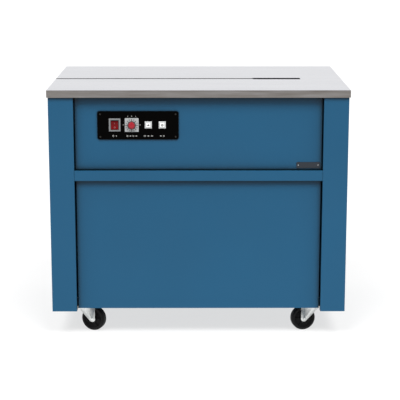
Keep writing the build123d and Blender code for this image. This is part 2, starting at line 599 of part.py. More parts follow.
ROCKER_PIVOT_Y = PLATE_FACE_Y + 2.4
with BuildPart() as switch_housing:
    front = PLATE_FACE_Y - SWITCH_PROUD
    slab(SWITCH_X - SWITCH_WIDTH / 2, SWITCH_X + SWITCH_WIDTH / 2, front, PLATE_FACE_Y,
         CONTROL_ROW_Z - SWITCH_HEIGHT / 2, CONTROL_ROW_Z + SWITCH_HEIGHT / 2)
    chamfer(switch_housing.faces().sort_by(Axis.Y)[0].edges(), 0.9)
    half_x, half_z = SWITCH_HOLE[0] / 2 - 0.2, SWITCH_HOLE[1] / 2 - 0.2
    slab(SWITCH_X - half_x, SWITCH_X + half_x, PLATE_FACE_Y, PLATE_FACE_Y + 26,
         CONTROL_ROW_Z - half_z, CONTROL_ROW_Z + half_z)
    slab(SWITCH_X - ROCKER_WIDTH / 2 - 0.4, SWITCH_X + ROCKER_WIDTH / 2 + 0.4, front - 1,
         PLATE_FACE_Y + 15.5, CONTROL_ROW_Z - ROCKER_RADIUS - 0.4,
         CONTROL_ROW_Z + ROCKER_RADIUS + 0.4, mode=Mode.SUBTRACT)
    for side in (-1, 1):
        rod((SWITCH_X + side * (ROCKER_WIDTH / 2 + 0.4), ROCKER_PIVOT_Y, CONTROL_ROW_Z),
            (-side, 0, 0), 1.5, 1.8)
finish(switch_housing, "switch_housing")

# Rocker: a wedge with a hollowed face, resting with its lower half pressed in.
with BuildPart() as power_rocker:
    tilt = radians(ROCKER_TILT)
    with BuildSketch(Plane(origin=(SWITCH_X - ROCKER_WIDTH / 2, ROCKER_PIVOT_Y, CONTROL_ROW_Z),
                           x_dir=(0, -cos(tilt), -sin(tilt)), z_dir=(1, 0, 0))):
        with BuildLine():
            Polyline((-8, -9.5), (4.6, -12.4), (7.6, -12.0))
            ThreePointArc((7.6, -12.0), (5.4, 0), (7.6, 12.0))
            Polyline((7.6, 12.0), (4.6, 12.4), (-8, 9.5), (-8, -9.5))
        make_face()
    extrude(amount=ROCKER_WIDTH)
    for start, way in ((-1, 1), (1, -1)):
        rod((SWITCH_X + start * (ROCKER_WIDTH / 2 + 0.1), ROCKER_PIVOT_Y, CONTROL_ROW_Z),
            (way, 0, 0), 1.5 + RUNNING, 2.4, mode=Mode.SUBTRACT)
finish(power_rocker, "power_rocker")

with BuildPart() as length_timer:
    slab(TIMER_X - TIMER_SIZE / 2, TIMER_X + TIMER_SIZE / 2, PLATE_FACE_Y - TIMER_PROUD,
         PLATE_FACE_Y, CONTROL_ROW_Z - TIMER_SIZE / 2, CONTROL_ROW_Z + TIMER_SIZE / 2)
    fillet(length_timer.edges().filter_by(Axis.Y), 1.5)
    half = TIMER_HOLE / 2 - 0.2
    slab(TIMER_X - half, TIMER_X + half, PLATE_FACE_Y, PLATE_FACE_Y + 52,
         CONTROL_ROW_Z - half, CONTROL_ROW_Z + half)
    rod((TIMER_X, PLATE_FACE_Y - TIMER_PROUD - 7, CONTROL_ROW_Z), (0, 1, 0), 3.0, 8)
finish(length_timer, "length_timer")

with BuildPart() as dial_knob:
    knob_back = PLATE_FACE_Y - TIMER_PROUD - 0.3
    with BuildSketch(Plane.XZ.offset(-knob_back)):
        with Locations((TIMER_X, CONTROL_ROW_Z)):
            Circle(KNOB_RADIUS)
            with PolarLocations(KNOB_RADIUS + 0.5, KNOB_FLUTES):
                Circle(1.1, mode=Mode.SUBTRACT)
            with Locations((0, KNOB_RADIUS)):
                Rectangle(2.2, 3.4)
    extrude(amount=KNOB_HEIGHT, taper=2)
    slab(TIMER_X - 0.7, TIMER_X + 0.7, knob_back - KNOB_HEIGHT - 1,
         knob_back - KNOB_HEIGHT + 0.8, CONTROL_ROW_Z + 2, CONTROL_ROW_Z + KNOB_RADIUS + 4,
         mode=Mode.SUBTRACT)
    rod((TIMER_X, knob_back + 1, CONTROL_ROW_Z), (0, -1, 0), 3.0 + RUNNING, 8.2,
        mode=Mode.SUBTRACT)
finish(dial_knob, "dial_knob")

with BuildPart() as button_housings:
    for x in BUTTON_XS:
        half = BUTTON_SIZE / 2
        slab(x - half, x + half, PLATE_FACE_Y - BUTTON_PROUD, PLATE_FACE_Y,
             CONTROL_ROW_Z - half, CONTROL_ROW_Z + half)
    chamfer(button_housings.faces().group_by(Axis.Y)[0].edges(), 0.8)
    for x in BUTTON_XS:
        half = BUTTON_HOLE / 2 - 0.2
        slab(x - half, x + half, PLATE_FACE_Y, PLATE_FACE_Y + 24, CONTROL_ROW_Z - half,
             CONTROL_ROW_Z + half)
        half = BUTTON_CAP / 2 + 0.35
        slab(x - half, x + half, PLATE_FACE_Y - BUTTON_PROUD - 1, PLATE_FACE_Y + 10,
             CONTROL_ROW_Z - half, CONTROL_ROW_Z + half, mode=Mode.SUBTRACT)
        rod((x, PLATE_FACE_Y + 4.6, CONTROL_ROW_Z), (0, 1, 0), 2.0, 6)
finish(button_housings, "button_housings")

for x, name in zip(BUTTON_XS, ("feed_button", "reverse_button")):
    with BuildPart() as button:
        half = BUTTON_CAP / 2
        front = PLATE_FACE_Y - BUTTON_PROUD - BUTTON_CAP_PROUD
        slab(x - half, x + half, front, PLATE_FACE_Y + 5.0, CONTROL_ROW_Z - half,
             CONTROL_ROW_Z + half)
        fillet(button.edges().filter_by(Axis.Y), 1.2)
        fillet(button.faces().sort_by(Axis.Y)[0].edges(), 0.8)
        rod((x, PLATE_FACE_Y + 6, CONTROL_ROW_Z), (0, -1, 0), 2.0 + RUNNING, 6,
            mode=Mode.SUBTRACT)
    finish(button, name)

BOARD_Y = -PANEL_FACE + BOX_DEPTH - 6
with BuildPart() as control_board:
    slab(PLATE_CENTRE_X - 100, PLATE_CENTRE_X + 100, BOARD_Y, BOARD_Y + 1.6,
         PLATE_CENTRE_Z - 36, PLATE_CENTRE_Z + 36)
    for dx, wide, high, tall in ((-72, 26, 30, 15), (-38, 18, 18, 12), (-8, 18, 18, 12),
                                 (26, 30, 10, 6), (64, 40, 44, 13)):
        slab(PLATE_CENTRE_X + dx - wide / 2, PLATE_CENTRE_X + dx + wide / 2, BOARD_Y - tall,
             BOARD_Y, PLATE_CENTRE_Z - high / 2, PLATE_CENTRE_Z + high / 2)
    for dx in (-90, 90):
        rod((PLATE_CENTRE_X + dx, BOARD_Y + 1.6, PLATE_CENTRE_Z), (0, 1, 0), 4.0,
            BOX_DEPTH - PANEL_FACE + SHEET - BOX_SHEET - BOARD_Y - 1.6)
finish(control_board, "control_board")

# Cable gland of the supply lead in the rear lower panel.
with BuildPart() as cable_gland:
    rod((GLAND_X, PANEL_FACE - SHEET - 4, GLAND_Z), (0, 1, 0), GLAND_BORE_R + 3.5, 18)
    with BuildSketch(Plane.XZ.offset(-PANEL_FACE)):
        with Locations((GLAND_X, GLAND_Z)):
            RegularPolygon(GLAND_BORE_R + 6.5, 6)
    extrude(amount=-5)
    with BuildSketch(Plane.XZ.offset(-(PANEL_FACE - SHEET - 4))):
        with Locations((GLAND_X, GLAND_Z)):
            RegularPolygon(GLAND_BORE_R + 6.5, 6)
    extrude(amount=-4)
    rod((GLAND_X, PANEL_FACE - SHEET - 5, GLAND_Z), (0, 1, 0), GLAND_BORE_R, 24,
        mode=Mode.SUBTRACT)
finish(cable_gland, "cable_gland")


# ---- strap reel ---------------------------------------------------------------------
with BuildPart() as reel_stand:
    with BuildSketch(Plane.XZ.offset(-STAND_Y)):
        with BuildLine():
            Polyline((REEL_X - 70, TRAY_TOP), (BRAKE_X + 30, TRAY_TOP), (BRAKE_X + 30, REEL_Z),
                     (BRAKE_X - 6, REEL_Z + 30), (REEL_X + 45, REEL_Z + 40),
                     (REEL_X - 45, REEL_Z + 40), (REEL_X - 70, TRAY_TOP))
        make_face()
    extrude(amount=-STAND_SHEET)
    slab(REEL_X - 70, BRAKE_X + 30, STAND_Y, STAND_Y + 60, TRAY_TOP, TRAY_TOP + STAND_SHEET)
    for x in (REEL_X - 55, REEL_X + 30, BRAKE_X + 10):
        with BuildSketch(Plane.YZ.offset(x)):
            with BuildLine():
                Polyline((STAND_Y + STAND_SHEET, TRAY_TOP + STAND_SHEET),
                         (STAND_Y + 56, TRAY_TOP + STAND_SHEET),
                         (STAND_Y + STAND_SHEET, TRAY_TOP + 120), close=True)
            make_face()
        extrude(amount=5)
    rod((REEL_X, STAND_Y - 1, REEL_Z), (0, 1, 0), REEL_SHAFT_R - 2, STAND_SHEET + 2,
        mode=Mode.SUBTRACT)
    pin_front = REEL_BACK - REEL_FLANGE_SHEET - 6.5
    rod((BRAKE_X, pin_front, REEL_Z), (0, 1, 0), BRAKE_PIN_R, STAND_Y - pin_front)
    rod((BRAKE_X, pin_front, REEL_Z), (0, 1, 0), BRAKE_PIN_R + 3, 3)
finish(reel_stand, "reel_stand")

# Fixed shaft with a shoulder against the stand and a nut behind it.
with BuildPart() as reel_shaft:
    rod((REEL_X, REEL_FRONT - 22, REEL_Z), (0, 1, 0), REEL_SHAFT_R, STAND_Y - REEL_FRONT + 22)
    rod((REEL_X, STAND_Y - STAND_GAP + 0.5, REEL_Z), (0, 1, 0), REEL_SHAFT_R + 6,
        STAND_GAP - 0.5)
    rod((REEL_X, STAND_Y, REEL_Z), (0, 1, 0), REEL_SHAFT_R - 2, STAND_SHEET + 14)
    with BuildSketch(Plane.XZ.offset(-(STAND_Y + STAND_SHEET))):
        with Locations((REEL_X, REEL_Z)):
            RegularPolygon(15, 6)
    extrude(amount=-10)
finish(reel_shaft, "reel_shaft")


def reel_flange_profile(inner_face):
    """The outline of a spoked flange, drawn at its inner face."""
    with BuildSketch(Plane.XZ.offset(-inner_face)) as profile:
        with Locations((REEL_X, REEL_Z)):
            Circle(REEL_FLANGE_R)
            Circle(REEL_FLANGE_R - 22, mode=Mode.SUBTRACT)
            with PolarLocations(REEL_FLANGE_R / 2 + 10, REEL_SPOKES):
                Rectangle(REEL_FLANGE_R - 34, 26)
            Circle(REEL_HUB_R + 16)
            Circle(REEL_SHAFT_R + RUNNING, mode=Mode.SUBTRACT)
    return profile.sketch


CORE_FRONT = REEL_FRONT + REEL_FLANGE_SHEET
CORE_BACK = REEL_BACK - REEL_FLANGE_SHEET
with BuildPart() as reel_front_flange:
    extrude(reel_flange_profile(CORE_FRONT), amount=REEL_FLANGE_SHEET)
finish(reel_front_flange, "reel_front_flange")

# The core drum is welded to the rear flange.
with BuildPart() as reel_core:
    extrude(reel_flange_profile(CORE_BACK), amount=-REEL_FLANGE_SHEET)
    with BuildSketch(Plane.XZ.offset(-CORE_FRONT)):
        with Locations((REEL_X, REEL_Z)):
            Circle(REEL_CORE_R)
            Circle(REEL_CORE_R - REEL_CORE_WALL, mode=Mode.SUBTRACT)
            with PolarLocations(REEL_CORE_R / 2 + 8, 3):
                Rectangle(REEL_CORE_R - 20, 6)
            Circle(REEL_HUB_R)
            Circle(REEL_SHAFT_R + RUNNING, mode=Mode.SUBTRACT)
    extrude(amount=-(CORE_BACK - CORE_FRONT))
finish(reel_core, "reel_core")

with BuildPart() as strap_coil:
    with BuildSketch(Plane.XZ.offset(-(CORE_FRONT + COIL_GAP))):
        with Locations((REEL_X, REEL_Z)):
            Circle(COIL_R)
            Circle(REEL_CORE_R + 0.3, mode=Mode.SUBTRACT)
    extrude(amount=-(CORE_BACK - CORE_FRONT - 2 * COIL_GAP))
finish(strap_coil, "strap_coil")

# Hand nut that clamps the front flange on the core.
with BuildPart() as reel_nut:
    with BuildSketch(Plane.XZ.offset(-REEL_FRONT)):
        with Locations((REEL_X, REEL_Z)):
            Circle(26)
            with PolarLocations(30, 6):
                Circle(9, mode=Mode.SUBTRACT)
            Circle(REEL_SHAFT_R + RUNNING, mode=Mode.SUBTRACT)
    extrude(amount=18)
    fillet(reel_nut.faces().sort_by(Axis.Y)[0].outer_wire().edges(), 1.5)
finish(reel_nut, "reel_nut")

# Brake lever: one arm's pad rests beside the rear flange's rim, where a line from the pivot
# touches the rim, and the strap lifts the roller on the other arm to free the reel.
LEVER_FRONT = REEL_BACK - REEL_FLANGE_SHEET - 3
LEVER_BACK = STAND_Y - 0.5
PIVOT_TO_REEL = BRAKE_X - REEL_X
PAD_REACH = sqrt(PIVOT_TO_REEL**2 - REEL_FLANGE_R**2)
PAD_TURN = radians(180) - asin(REEL_FLANGE_R / PIVOT_TO_REEL)
ROLLER_PIN_BACK = SLOT_Y + FEED_WIDTH / 2 + 5
with BuildPart() as brake_lever:
    with BuildSketch(Plane.XZ.offset(-LEVER_BACK)):
        with Locations((BRAKE_X, REEL_Z)):
            Circle(13)
        with BuildLine():
            Polyline((BRAKE_X - 9, REEL_Z),
                     (BRAKE_X + BRAKE_ROLLER_DX - 7, REEL_Z + BRAKE_ROLLER_DZ),
                     (BRAKE_X + BRAKE_ROLLER_DX + 7, REEL_Z + BRAKE_ROLLER_DZ),
                     (BRAKE_X + 11, REEL_Z), close=True)
        make_face()
        with Locations((BRAKE_X + BRAKE_ROLLER_DX, REEL_Z + BRAKE_ROLLER_DZ)):
            Circle(9)
    extrude(amount=LEVER_BACK - LEVER_FRONT)
    with BuildSketch(Plane(origin=(BRAKE_X, LEVER_BACK, REEL_Z), z_dir=(0, -1, 0),
                           x_dir=(cos(PAD_TURN), 0, sin(PAD_TURN)))):
        with Locations((PAD_REACH / 2, -8)):
            Rectangle(PAD_REACH, 12)
        with Locations((PAD_REACH, -PAD_GAP - 6)):
            Rectangle(26, 12)
    extrude(amount=LEVER_BACK - LEVER_FRONT)
    rod((BRAKE_X, LEVER_BACK + 1, REEL_Z), (0, -1, 0), BRAKE_PIN_R + RUNNING,
        LEVER_BACK - LEVER_FRONT + 2, mode=Mode.SUBTRACT)
    roller_at = (BRAKE_X + BRAKE_ROLLER_DX, LEVER_BACK, REEL_Z + BRAKE_ROLLER_DZ)
    rod(roller_at, (0, 1, 0), 4.0, ROLLER_PIN_BACK - LEVER_BACK)
    rod(roller_at, (0, 1, 0), 8.0, SLOT_Y - FEED_WIDTH / 2 - 0.4 - LEVER_BACK)
    rod((roller_at[0], ROLLER_PIN_BACK - 3, roller_at[2]), (0, 1, 0), 7.0, 3)
finish(brake_lever, "brake_lever")

with BuildPart() as strap_roller:
    with BuildSketch(Plane.YZ.offset(roller_at[0])):
        with BuildLine():
            low, high, edge = 4.0 + RUNNING, BRAKE_ROLLER_R, BRAKE_ROLLER_R + 4
            front, back = SLOT_Y - FEED_WIDTH / 2, SLOT_Y + FEED_WIDTH / 2
            z = roller_at[2]
            Polyline((front, z + low), (front, z + edge), (front + 2.5, z + edge),
                     (front + 4.5, z + high), (back - 4.5, z + high), (back - 2.5, z + edge),
                     (back, z + edge), (back, z + low), close=True)
        make_face()
    revolve(axis=Axis(roller_at, (0, 1, 0)))
finish(strap_roller, "strap_roller")


# ---- sealing head -------------------------------------------------------------------
# Two end plates with bearing bosses for the camshaft, tied by two bars.
with BuildPart() as mechanism_frame:
    for x in (MECH_LEFT, MECH_RIGHT - MECH_PLATE):
        slab(x, x + MECH_PLATE, MECH_FRONT, MECH_BACK, MECH_BOTTOM, MECH_TOP)
        rod((x - 2, SLOT_Y, SHAFT_Z), (1, 0, 0), BEARING_R, MECH_PLATE + 2)
        rod((x - 3, SLOT_Y, SHAFT_Z), (1, 0, 0), SHAFT_R + RUNNING, MECH_PLATE + 6,
            mode=Mode.SUBTRACT)
        slab(x - 1, x + MECH_PLATE + 1, SLOT_Y - SLOT_WIDTH / 2, SLOT_Y + SLOT_WIDTH / 2,
             BED_TOP + 3, MECH_TOP + 1, mode=Mode.SUBTRACT)
    for y in (MECH_FRONT + 14, MECH_BACK - 14):
        rod((MECH_LEFT + MECH_PLATE, y, MECH_BOTTOM + 16), (1, 0, 0), 8,
            MECH_RIGHT - MECH_LEFT - 2 * MECH_PLATE)
finish(mechanism_frame, "mechanism_frame")

with BuildPart() as camshaft:
    rod((MECH_LEFT - 10, SLOT_Y, SHAFT_Z), (1, 0, 0), SHAFT_R, GEARBOX_LEFT + 30 - MECH_LEFT)
    cams = [(x, phase) for x, phase in zip(HEAD_XS.values(), (200.0, 290.0, 150.0))]
    cams.append((MECH_RIGHT - MECH_PLATE - 18, 30.0))
    for x, phase in cams:
        with BuildSketch(Plane.YZ.offset(x - CAM_WIDTH / 2)):
            with Locations((SLOT_Y, SHAFT_Z)):
                Circle(CAM_BASE_R)
                with PolarLocations(CAM_LOBE_R - 9, 1, phase):
                    Circle(9)
            make_hull()
        extrude(amount=CAM_WIDTH)
finish(camshaft, "camshaft")

# Bed of the head: three square wells for the heads, cheeks that carry the anvil plate,
# a strap way across its top and a shelf behind for the heater's slide.
BED_LEFT = MECH_LEFT + MECH_PLATE
BED_RIGHT = MECH_RIGHT - MECH_PLATE
STRAP_WAY = 26.0
with BuildPart() as head_bed:
    slab(BED_LEFT, BED_RIGHT, BED_FRONT, BED_BACK, BED_BOTTOM, BED_TOP)
    for x0, x1 in ((BED_LEFT, BED_LEFT + 10), (HEAD_OPEN_RIGHT - 22, BED_RIGHT)):
        slab(x0, x1, BED_FRONT, CHEEK_BACK, BED_TOP, ANVIL_BOTTOM - 0.2)
        slab(x0, x1, BED_BACK, CHEEK_BACK, BED_BOTTOM, BED_TOP)
    slab(BED_LEFT - 1, BED_RIGHT + 1, SLOT_Y - STRAP_WAY / 2, SLOT_Y + STRAP_WAY / 2, BED_TOP,
         ANVIL_BOTTOM, mode=Mode.SUBTRACT)
    for x in HEAD_XS.values():
        slab(x - HEAD_SIZE_X / 2 - HEAD_PLAY, x + HEAD_SIZE_X / 2 + HEAD_PLAY,
             SLOT_Y - HEAD_SIZE_Y / 2 - HEAD_PLAY, SLOT_Y + HEAD_SIZE_Y / 2 + HEAD_PLAY,
             BED_BOTTOM - 1, BED_TOP + 1, mode=Mode.SUBTRACT)
    # Stop at the right end of the opening, where the strap's tip is pushed in.
    stop_x = HEAD_OPEN_RIGHT - 18
    for x in (stop_x, stop_x + 10):
        slab(x, x + 6, SLOT_Y - 12, SLOT_Y + 12, BED_TOP - 1, ANVIL_BOTTOM + 3.5)
    shelf = HEAD_XS["press_head"]
    slab(shelf - 20, shelf + 20, BED_BACK, MECH_BACK + 10, BED_BOTTOM, BED_BOTTOM + 9.7)
finish(head_bed, "head_bed")


def head_bar(name, teeth):
    """A square bar that slides up in the bed, with grip teeth or a plain face on top."""
    x = HEAD_XS[name]
    with BuildPart() as bar:
        slab(x - HEAD_SIZE_X / 2, x + HEAD_SIZE_X / 2, SLOT_Y - HEAD_SIZE_Y / 2,
             SLOT_Y + HEAD_SIZE_Y / 2, HEAD_BOTTOM, HEAD_HOME_TOP)
        if teeth:
            for k in range(8):
                tooth = x - HEAD_SIZE_X / 2 + 3 + k * (HEAD_SIZE_X - 6) / 7
                slab(tooth - 0.6, tooth + 0.6, SLOT_Y - HEAD_SIZE_Y, SLOT_Y + HEAD_SIZE_Y,
                     HEAD_HOME_TOP - 1.0, HEAD_HOME_TOP + 1, mode=Mode.SUBTRACT)
        else:
            slab(x - HEAD_SIZE_X / 2 - 1, x - HEAD_SIZE_X / 2 + 4, SLOT_Y - HEAD_SIZE_Y,
                 SLOT_Y + HEAD_SIZE_Y, HEAD_HOME_TOP - 12, HEAD_HOME_TOP + 1,
                 mode=Mode.SUBTRACT)
    finish(bar, name)


head_bar("left_gripper", True)
head_bar("press_head", False)
head_bar("right_gripper", True)

# Cutter blade set in the press head's left shoulder.
with BuildPart() as cutter_blade:
    edge_x = HEAD_XS["press_head"] - HEAD_SIZE_X / 2
    with BuildSketch(Plane.XZ.offset(-(SLOT_Y - HEAD_SIZE_Y / 2))):
        with BuildLine():
            Polyline((edge_x + 0.3, HEAD_HOME_TOP - 12), (edge_x + 4, HEAD_HOME_TOP - 12),
                     (edge_x + 4, HEAD_HOME_TOP - 1.5), (edge_x + 0.3, HEAD_HOME_TOP + 0.2),
                     close=True)
        make_face()
    extrude(amount=-HEAD_SIZE_Y)
finish(cutter_blade, "cutter_blade")

# Anvil plate: slides back from over the strap to let the sealed loop go.
ANVIL_LEFT = BED_LEFT + 4
ANVIL_RIGHT = HEAD_OPEN_RIGHT - 20
with BuildPart() as anvil_plate:
    slab(ANVIL_LEFT, ANVIL_RIGHT, SLOT_Y - 20, CHEEK_BACK, ANVIL_BOTTOM,
         ANVIL_BOTTOM + ANVIL_THICK)
    slab(HEAD_XS["press_head"] - 16, HEAD_XS["press_head"] + 16, BED_BACK + 2, CHEEK_BACK + 1,
         ANVIL_BOTTOM - 1, ANVIL_BOTTOM + ANVIL_THICK + 1, mode=Mode.SUBTRACT)
    slab(BED_LEFT + 14, BED_LEFT + 32, CHEEK_BACK - 8, CHEEK_BACK,
         BED_BOTTOM + 16, ANVIL_BOTTOM)
finish(anvil_plate, "anvil_plate")

# Heater: a thin hot blade on a carriage that slides it in under the anvil plate.
with BuildPart() as heater:
    hot_x = HEAD_XS["press_head"]
    blade_top = ANVIL_BOTTOM - HEATER_GAP
    slab(hot_x - 11, hot_x + 11, SLOT_Y + 16, MECH_BACK - 12, blade_top - HEATER_SHEET, blade_top)
    slab(hot_x - 14, hot_x + 14, MECH_BACK - 26, MECH_BACK, BED_BOTTOM + 10,
         blade_top - HEATER_SHEET)
finish(heater, "heater_carriage")


# ---- drive --------------------------------------------------------------------------
with BuildPart() as gearbox:
    slab(GEARBOX_LEFT, GEARBOX_LEFT + GEARBOX_WIDTH, GEARBOX_FRONT, GEARBOX_BACK,
         GEARBOX_BOTTOM, GEARBOX_TOP)
    fillet(gearbox.edges().filter_by(Axis.Y), 8)
    slab(MECH_RIGHT, GEARBOX_LEFT, GEARBOX_FRONT + 10, GEARBOX_BACK, GEARBOX_BOTTOM + 6,
         GEARBOX_TOP - 6)
    for z in (GEARBOX_BOTTOM + 22, GEARBOX_BOTTOM + 40, GEARBOX_BOTTOM + 58):
        slab(GEARBOX_LEFT + GEARBOX_WIDTH, GEARBOX_LEFT + GEARBOX_WIDTH + 5,
             GEARBOX_FRONT + 12, GEARBOX_BACK - 12, z, z + 4)
    rod((MECH_RIGHT - 1, SLOT_Y, SHAFT_Z), (1, 0, 0), SHAFT_R + RUNNING, 42,
        mode=Mode.SUBTRACT)
    rod((GEARBOX_X, GEARBOX_BACK - 14, WORM_Z), (0, 1, 0), 8 + RUNNING, 16, mode=Mode.SUBTRACT)
finish(gearbox, "gearbox")


def pulley(x, z, pitch_r, shaft_r, shaft_from, name):
    """A V-grooved pulley on its shaft, which runs back into the machine it serves."""
    wide = BELT_WIDTH / 2 + 3
    with BuildPart() as wheel:
        with BuildSketch(Plane.YZ.offset(x)):
            with BuildLine():
                rim = pitch_r + BELT_DEPTH / 2 + 1.5
                root = pitch_r - BELT_DEPTH / 2 - 1.0
                Polyline((shaft_from, z), (BELT_PLANE_Y + wide + 4, z),
                         (BELT_PLANE_Y + wide + 4, z + shaft_r), (BELT_PLANE_Y + wide, z + shaft_r),
                         (BELT_PLANE_Y + wide, z + rim),
                         (BELT_PLANE_Y + BELT_WIDTH / 2 + 1, z + rim),
                         (BELT_PLANE_Y + BELT_WIDTH / 2 - 0.6, z + root),
                         (BELT_PLANE_Y - BELT_WIDTH / 2 + 0.6, z + root),
                         (BELT_PLANE_Y - BELT_WIDTH / 2 - 1, z + rim),
                         (BELT_PLANE_Y - wide, z + rim), (BELT_PLANE_Y - wide, z + shaft_r),
                         (shaft_from, z + shaft_r), close=True)
            make_face()
        revolve(axis=Axis((x, 0, z), (0, 1, 0)))
    finish(wheel, name)


pulley(GEARBOX_X, WORM_Z, GEARBOX_PULLEY_R, 8.0, GEARBOX_BACK - 12, "gearbox_pulley")
pulley(GEARBOX_X, MOTOR_Z, MOTOR_PULLEY_R, 7.0, GEARBOX_BACK - 12, "motor_pulley")

with BuildPart() as drive_motor:
    motor_front = GEARBOX_BACK - MOTOR_LENGTH
    rod((GEARBOX_X, motor_front, MOTOR_Z), (0, 1, 0), MOTOR_R - 4, MOTOR_LENGTH)
    for k in range(9):
        rod((GEARBOX_X, motor_front + 30 + 12 * k, MOTOR_Z), (0, 1, 0), MOTOR_R, 5)
    rod((GEARBOX_X, motor_front, MOTOR_Z), (0, 1, 0), MOTOR_R, 22)
    rod((GEARBOX_X, GEARBOX_BACK - 20, MOTOR_Z), (0, 1, 0), MOTOR_R, 20)
    slab(GEARBOX_X - 34, GEARBOX_X + 34, GEARBOX_FRONT + 8, GEARBOX_BACK - 6,
         MOTOR_Z + MOTOR_R - 12, GEARBOX_BOTTOM)
    slab(GEARBOX_X - MOTOR_R - 14, GEARBOX_X - MOTOR_R + 6, motor_front + 50,
         motor_front + 110, MOTOR_Z - 26, MOTOR_Z + 26)
    rod((GEARBOX_X, GEARBOX_BACK - 14, MOTOR_Z), (0, 1, 0), 7 + RUNNING, 16,
        mode=Mode.SUBTRACT)
finish(drive_motor, "drive_motor")

with BuildPart() as drive_belt:
    with BuildSketch(Plane.XZ.offset(-(BELT_PLANE_Y - BELT_WIDTH / 2 + 1))):
        with Locations((GEARBOX_X, WORM_Z)):
            Circle(GEARBOX_PULLEY_R + BELT_DEPTH / 2)
        with Locations((GEARBOX_X, MOTOR_Z)):
            Circle(MOTOR_PULLEY_R + BELT_DEPTH / 2)
        make_hull()
    extrude(amount=-(BELT_WIDTH - 2))
    with BuildSketch(Plane.XZ.offset(-(BELT_PLANE_Y - BELT_WIDTH / 2))):
        with Locations((GEARBOX_X, WORM_Z)):
            Circle(GEARBOX_PULLEY_R - BELT_DEPTH / 2 + 1.4)
        with Locations((GEARBOX_X, MOTOR_Z)):
            Circle(MOTOR_PULLEY_R - BELT_DEPTH / 2 + 1.4)
        make_hull()
    extrude(amount=-BELT_WIDTH, mode=Mode.SUBTRACT)
finish(drive_belt, "drive_belt")


# ---- strap feed ---------------------------------------------------------------------
PINCH_Z = FEED_Z + FEED_ROLLER_R + PINCH_ROLLER_R + FEED_NIP
FEED_PLATE_Y = SLOT_Y + BEARING_R + 1
FEED_PIN_R = 6.0
with BuildPart() as feed_bracket:
    slab(FEED_X - 44, MECH_LEFT, FEED_PLATE_Y, FEED_PLATE_Y + 8, FEED_Z - 28, PINCH_Z + 34)
    slab(MECH_LEFT - 8, MECH_LEFT, FEED_PLATE_Y, FEED_PLATE_Y + 46, FEED_Z - 12, PINCH_Z + 34)
    slab(FEED_X + 2, FEED_X + 5, SLOT_Y - 11, FEED_PLATE_Y, PINCH_Z + PINCH_ROLLER_R + 4,
         TABLE_UNDER - CHANNEL_DEPTH - CHANNEL_SHEET)
    slab(FEED_X - 5, FEED_X - 2, SLOT_Y - 11, FEED_PLATE_Y, PINCH_Z + PINCH_ROLLER_R + 4,
         TABLE_UNDER - CHANNEL_DEPTH - CHANNEL_SHEET)
    slab(FEED_X - 10, FEED_X + 10, FEED_PLATE_Y, FEED_PLATE_Y + 4, PINCH_Z + 20,
         TABLE_UNDER - CHANNEL_DEPTH - CHANNEL_SHEET)
    for z in (FEED_Z, PINCH_Z):
        rod((FEED_X, SLOT_Y - FEED_WIDTH / 2 - 4, z), (0, 1, 0), FEED_PIN_R,
            FEED_PLATE_Y - SLOT_Y + FEED_WIDTH / 2 + 4)
        rod((FEED_X, SLOT_Y - FEED_WIDTH / 2 - 4, z), (0, 1, 0), FEED_PIN_R + 3, 3)
        rod((FEED_X, SLOT_Y + FEED_WIDTH / 2 + 0.5, z), (0, 1, 0), FEED_PIN_R + 3,
            FEED_PLATE_Y - SLOT_Y - FEED_WIDTH / 2 - 0.5)
finish(feed_bracket, "feed_bracket")


def feed_wheel(radius, z, name, knurls):
    """A roller on a fixed pin; the driven one is knurled across its tread."""
    with BuildPart() as roller:
        with BuildSketch(Plane.XZ.offset(-(SLOT_Y - FEED_WIDTH / 2))):
            with Locations((FEED_X, z)):
                Circle(radius)
                if knurls:
                    with PolarLocations(radius + 0.5, knurls):
                        Circle(1.2, mode=Mode.SUBTRACT)
                Circle(FEED_PIN_R + RUNNING, mode=Mode.SUBTRACT)
        extrude(amount=-FEED_WIDTH)
    finish(roller, name)


feed_wheel(FEED_ROLLER_R, FEED_Z, "feed_roller", 48)
feed_wheel(PINCH_ROLLER_R, PINCH_Z, "pinch_roller", 0)
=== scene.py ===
import json
import math

import bmesh
import bpy
from bpy.props import FloatProperty, FloatVectorProperty, IntProperty, PointerProperty
from mathutils import Matrix, Vector


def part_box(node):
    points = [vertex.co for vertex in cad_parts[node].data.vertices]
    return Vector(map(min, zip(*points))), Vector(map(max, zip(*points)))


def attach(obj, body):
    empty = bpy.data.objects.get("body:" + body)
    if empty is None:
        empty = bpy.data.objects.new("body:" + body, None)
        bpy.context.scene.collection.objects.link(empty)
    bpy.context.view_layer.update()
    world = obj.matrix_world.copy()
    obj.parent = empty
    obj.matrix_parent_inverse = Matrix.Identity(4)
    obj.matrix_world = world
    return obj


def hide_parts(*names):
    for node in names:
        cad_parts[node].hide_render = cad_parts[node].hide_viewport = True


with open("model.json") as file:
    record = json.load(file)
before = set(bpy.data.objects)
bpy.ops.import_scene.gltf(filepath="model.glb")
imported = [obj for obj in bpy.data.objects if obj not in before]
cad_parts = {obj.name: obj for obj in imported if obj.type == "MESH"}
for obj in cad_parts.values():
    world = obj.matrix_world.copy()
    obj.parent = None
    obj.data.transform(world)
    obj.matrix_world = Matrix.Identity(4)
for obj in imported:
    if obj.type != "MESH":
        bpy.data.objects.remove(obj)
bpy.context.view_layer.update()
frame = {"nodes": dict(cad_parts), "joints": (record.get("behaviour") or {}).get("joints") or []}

bl_info = {
    "name": "Strapping machine",
    "version": (1, 0, 0),
    "blender": (4, 5, 0),
    "location": "View3D > Sidebar > Strapping machine",
    "description": "Finishes and small pieces of a semi-automatic strapping machine",
    "category": "Object",
}


# ---- settings -----------------------------------------------------------------------
def colour(label, text, value):
    """A colour property with its description and default."""
    return FloatVectorProperty(name=label, description=text, default=value, size=3,
                               subtype="COLOR", min=0.0, max=1.0)


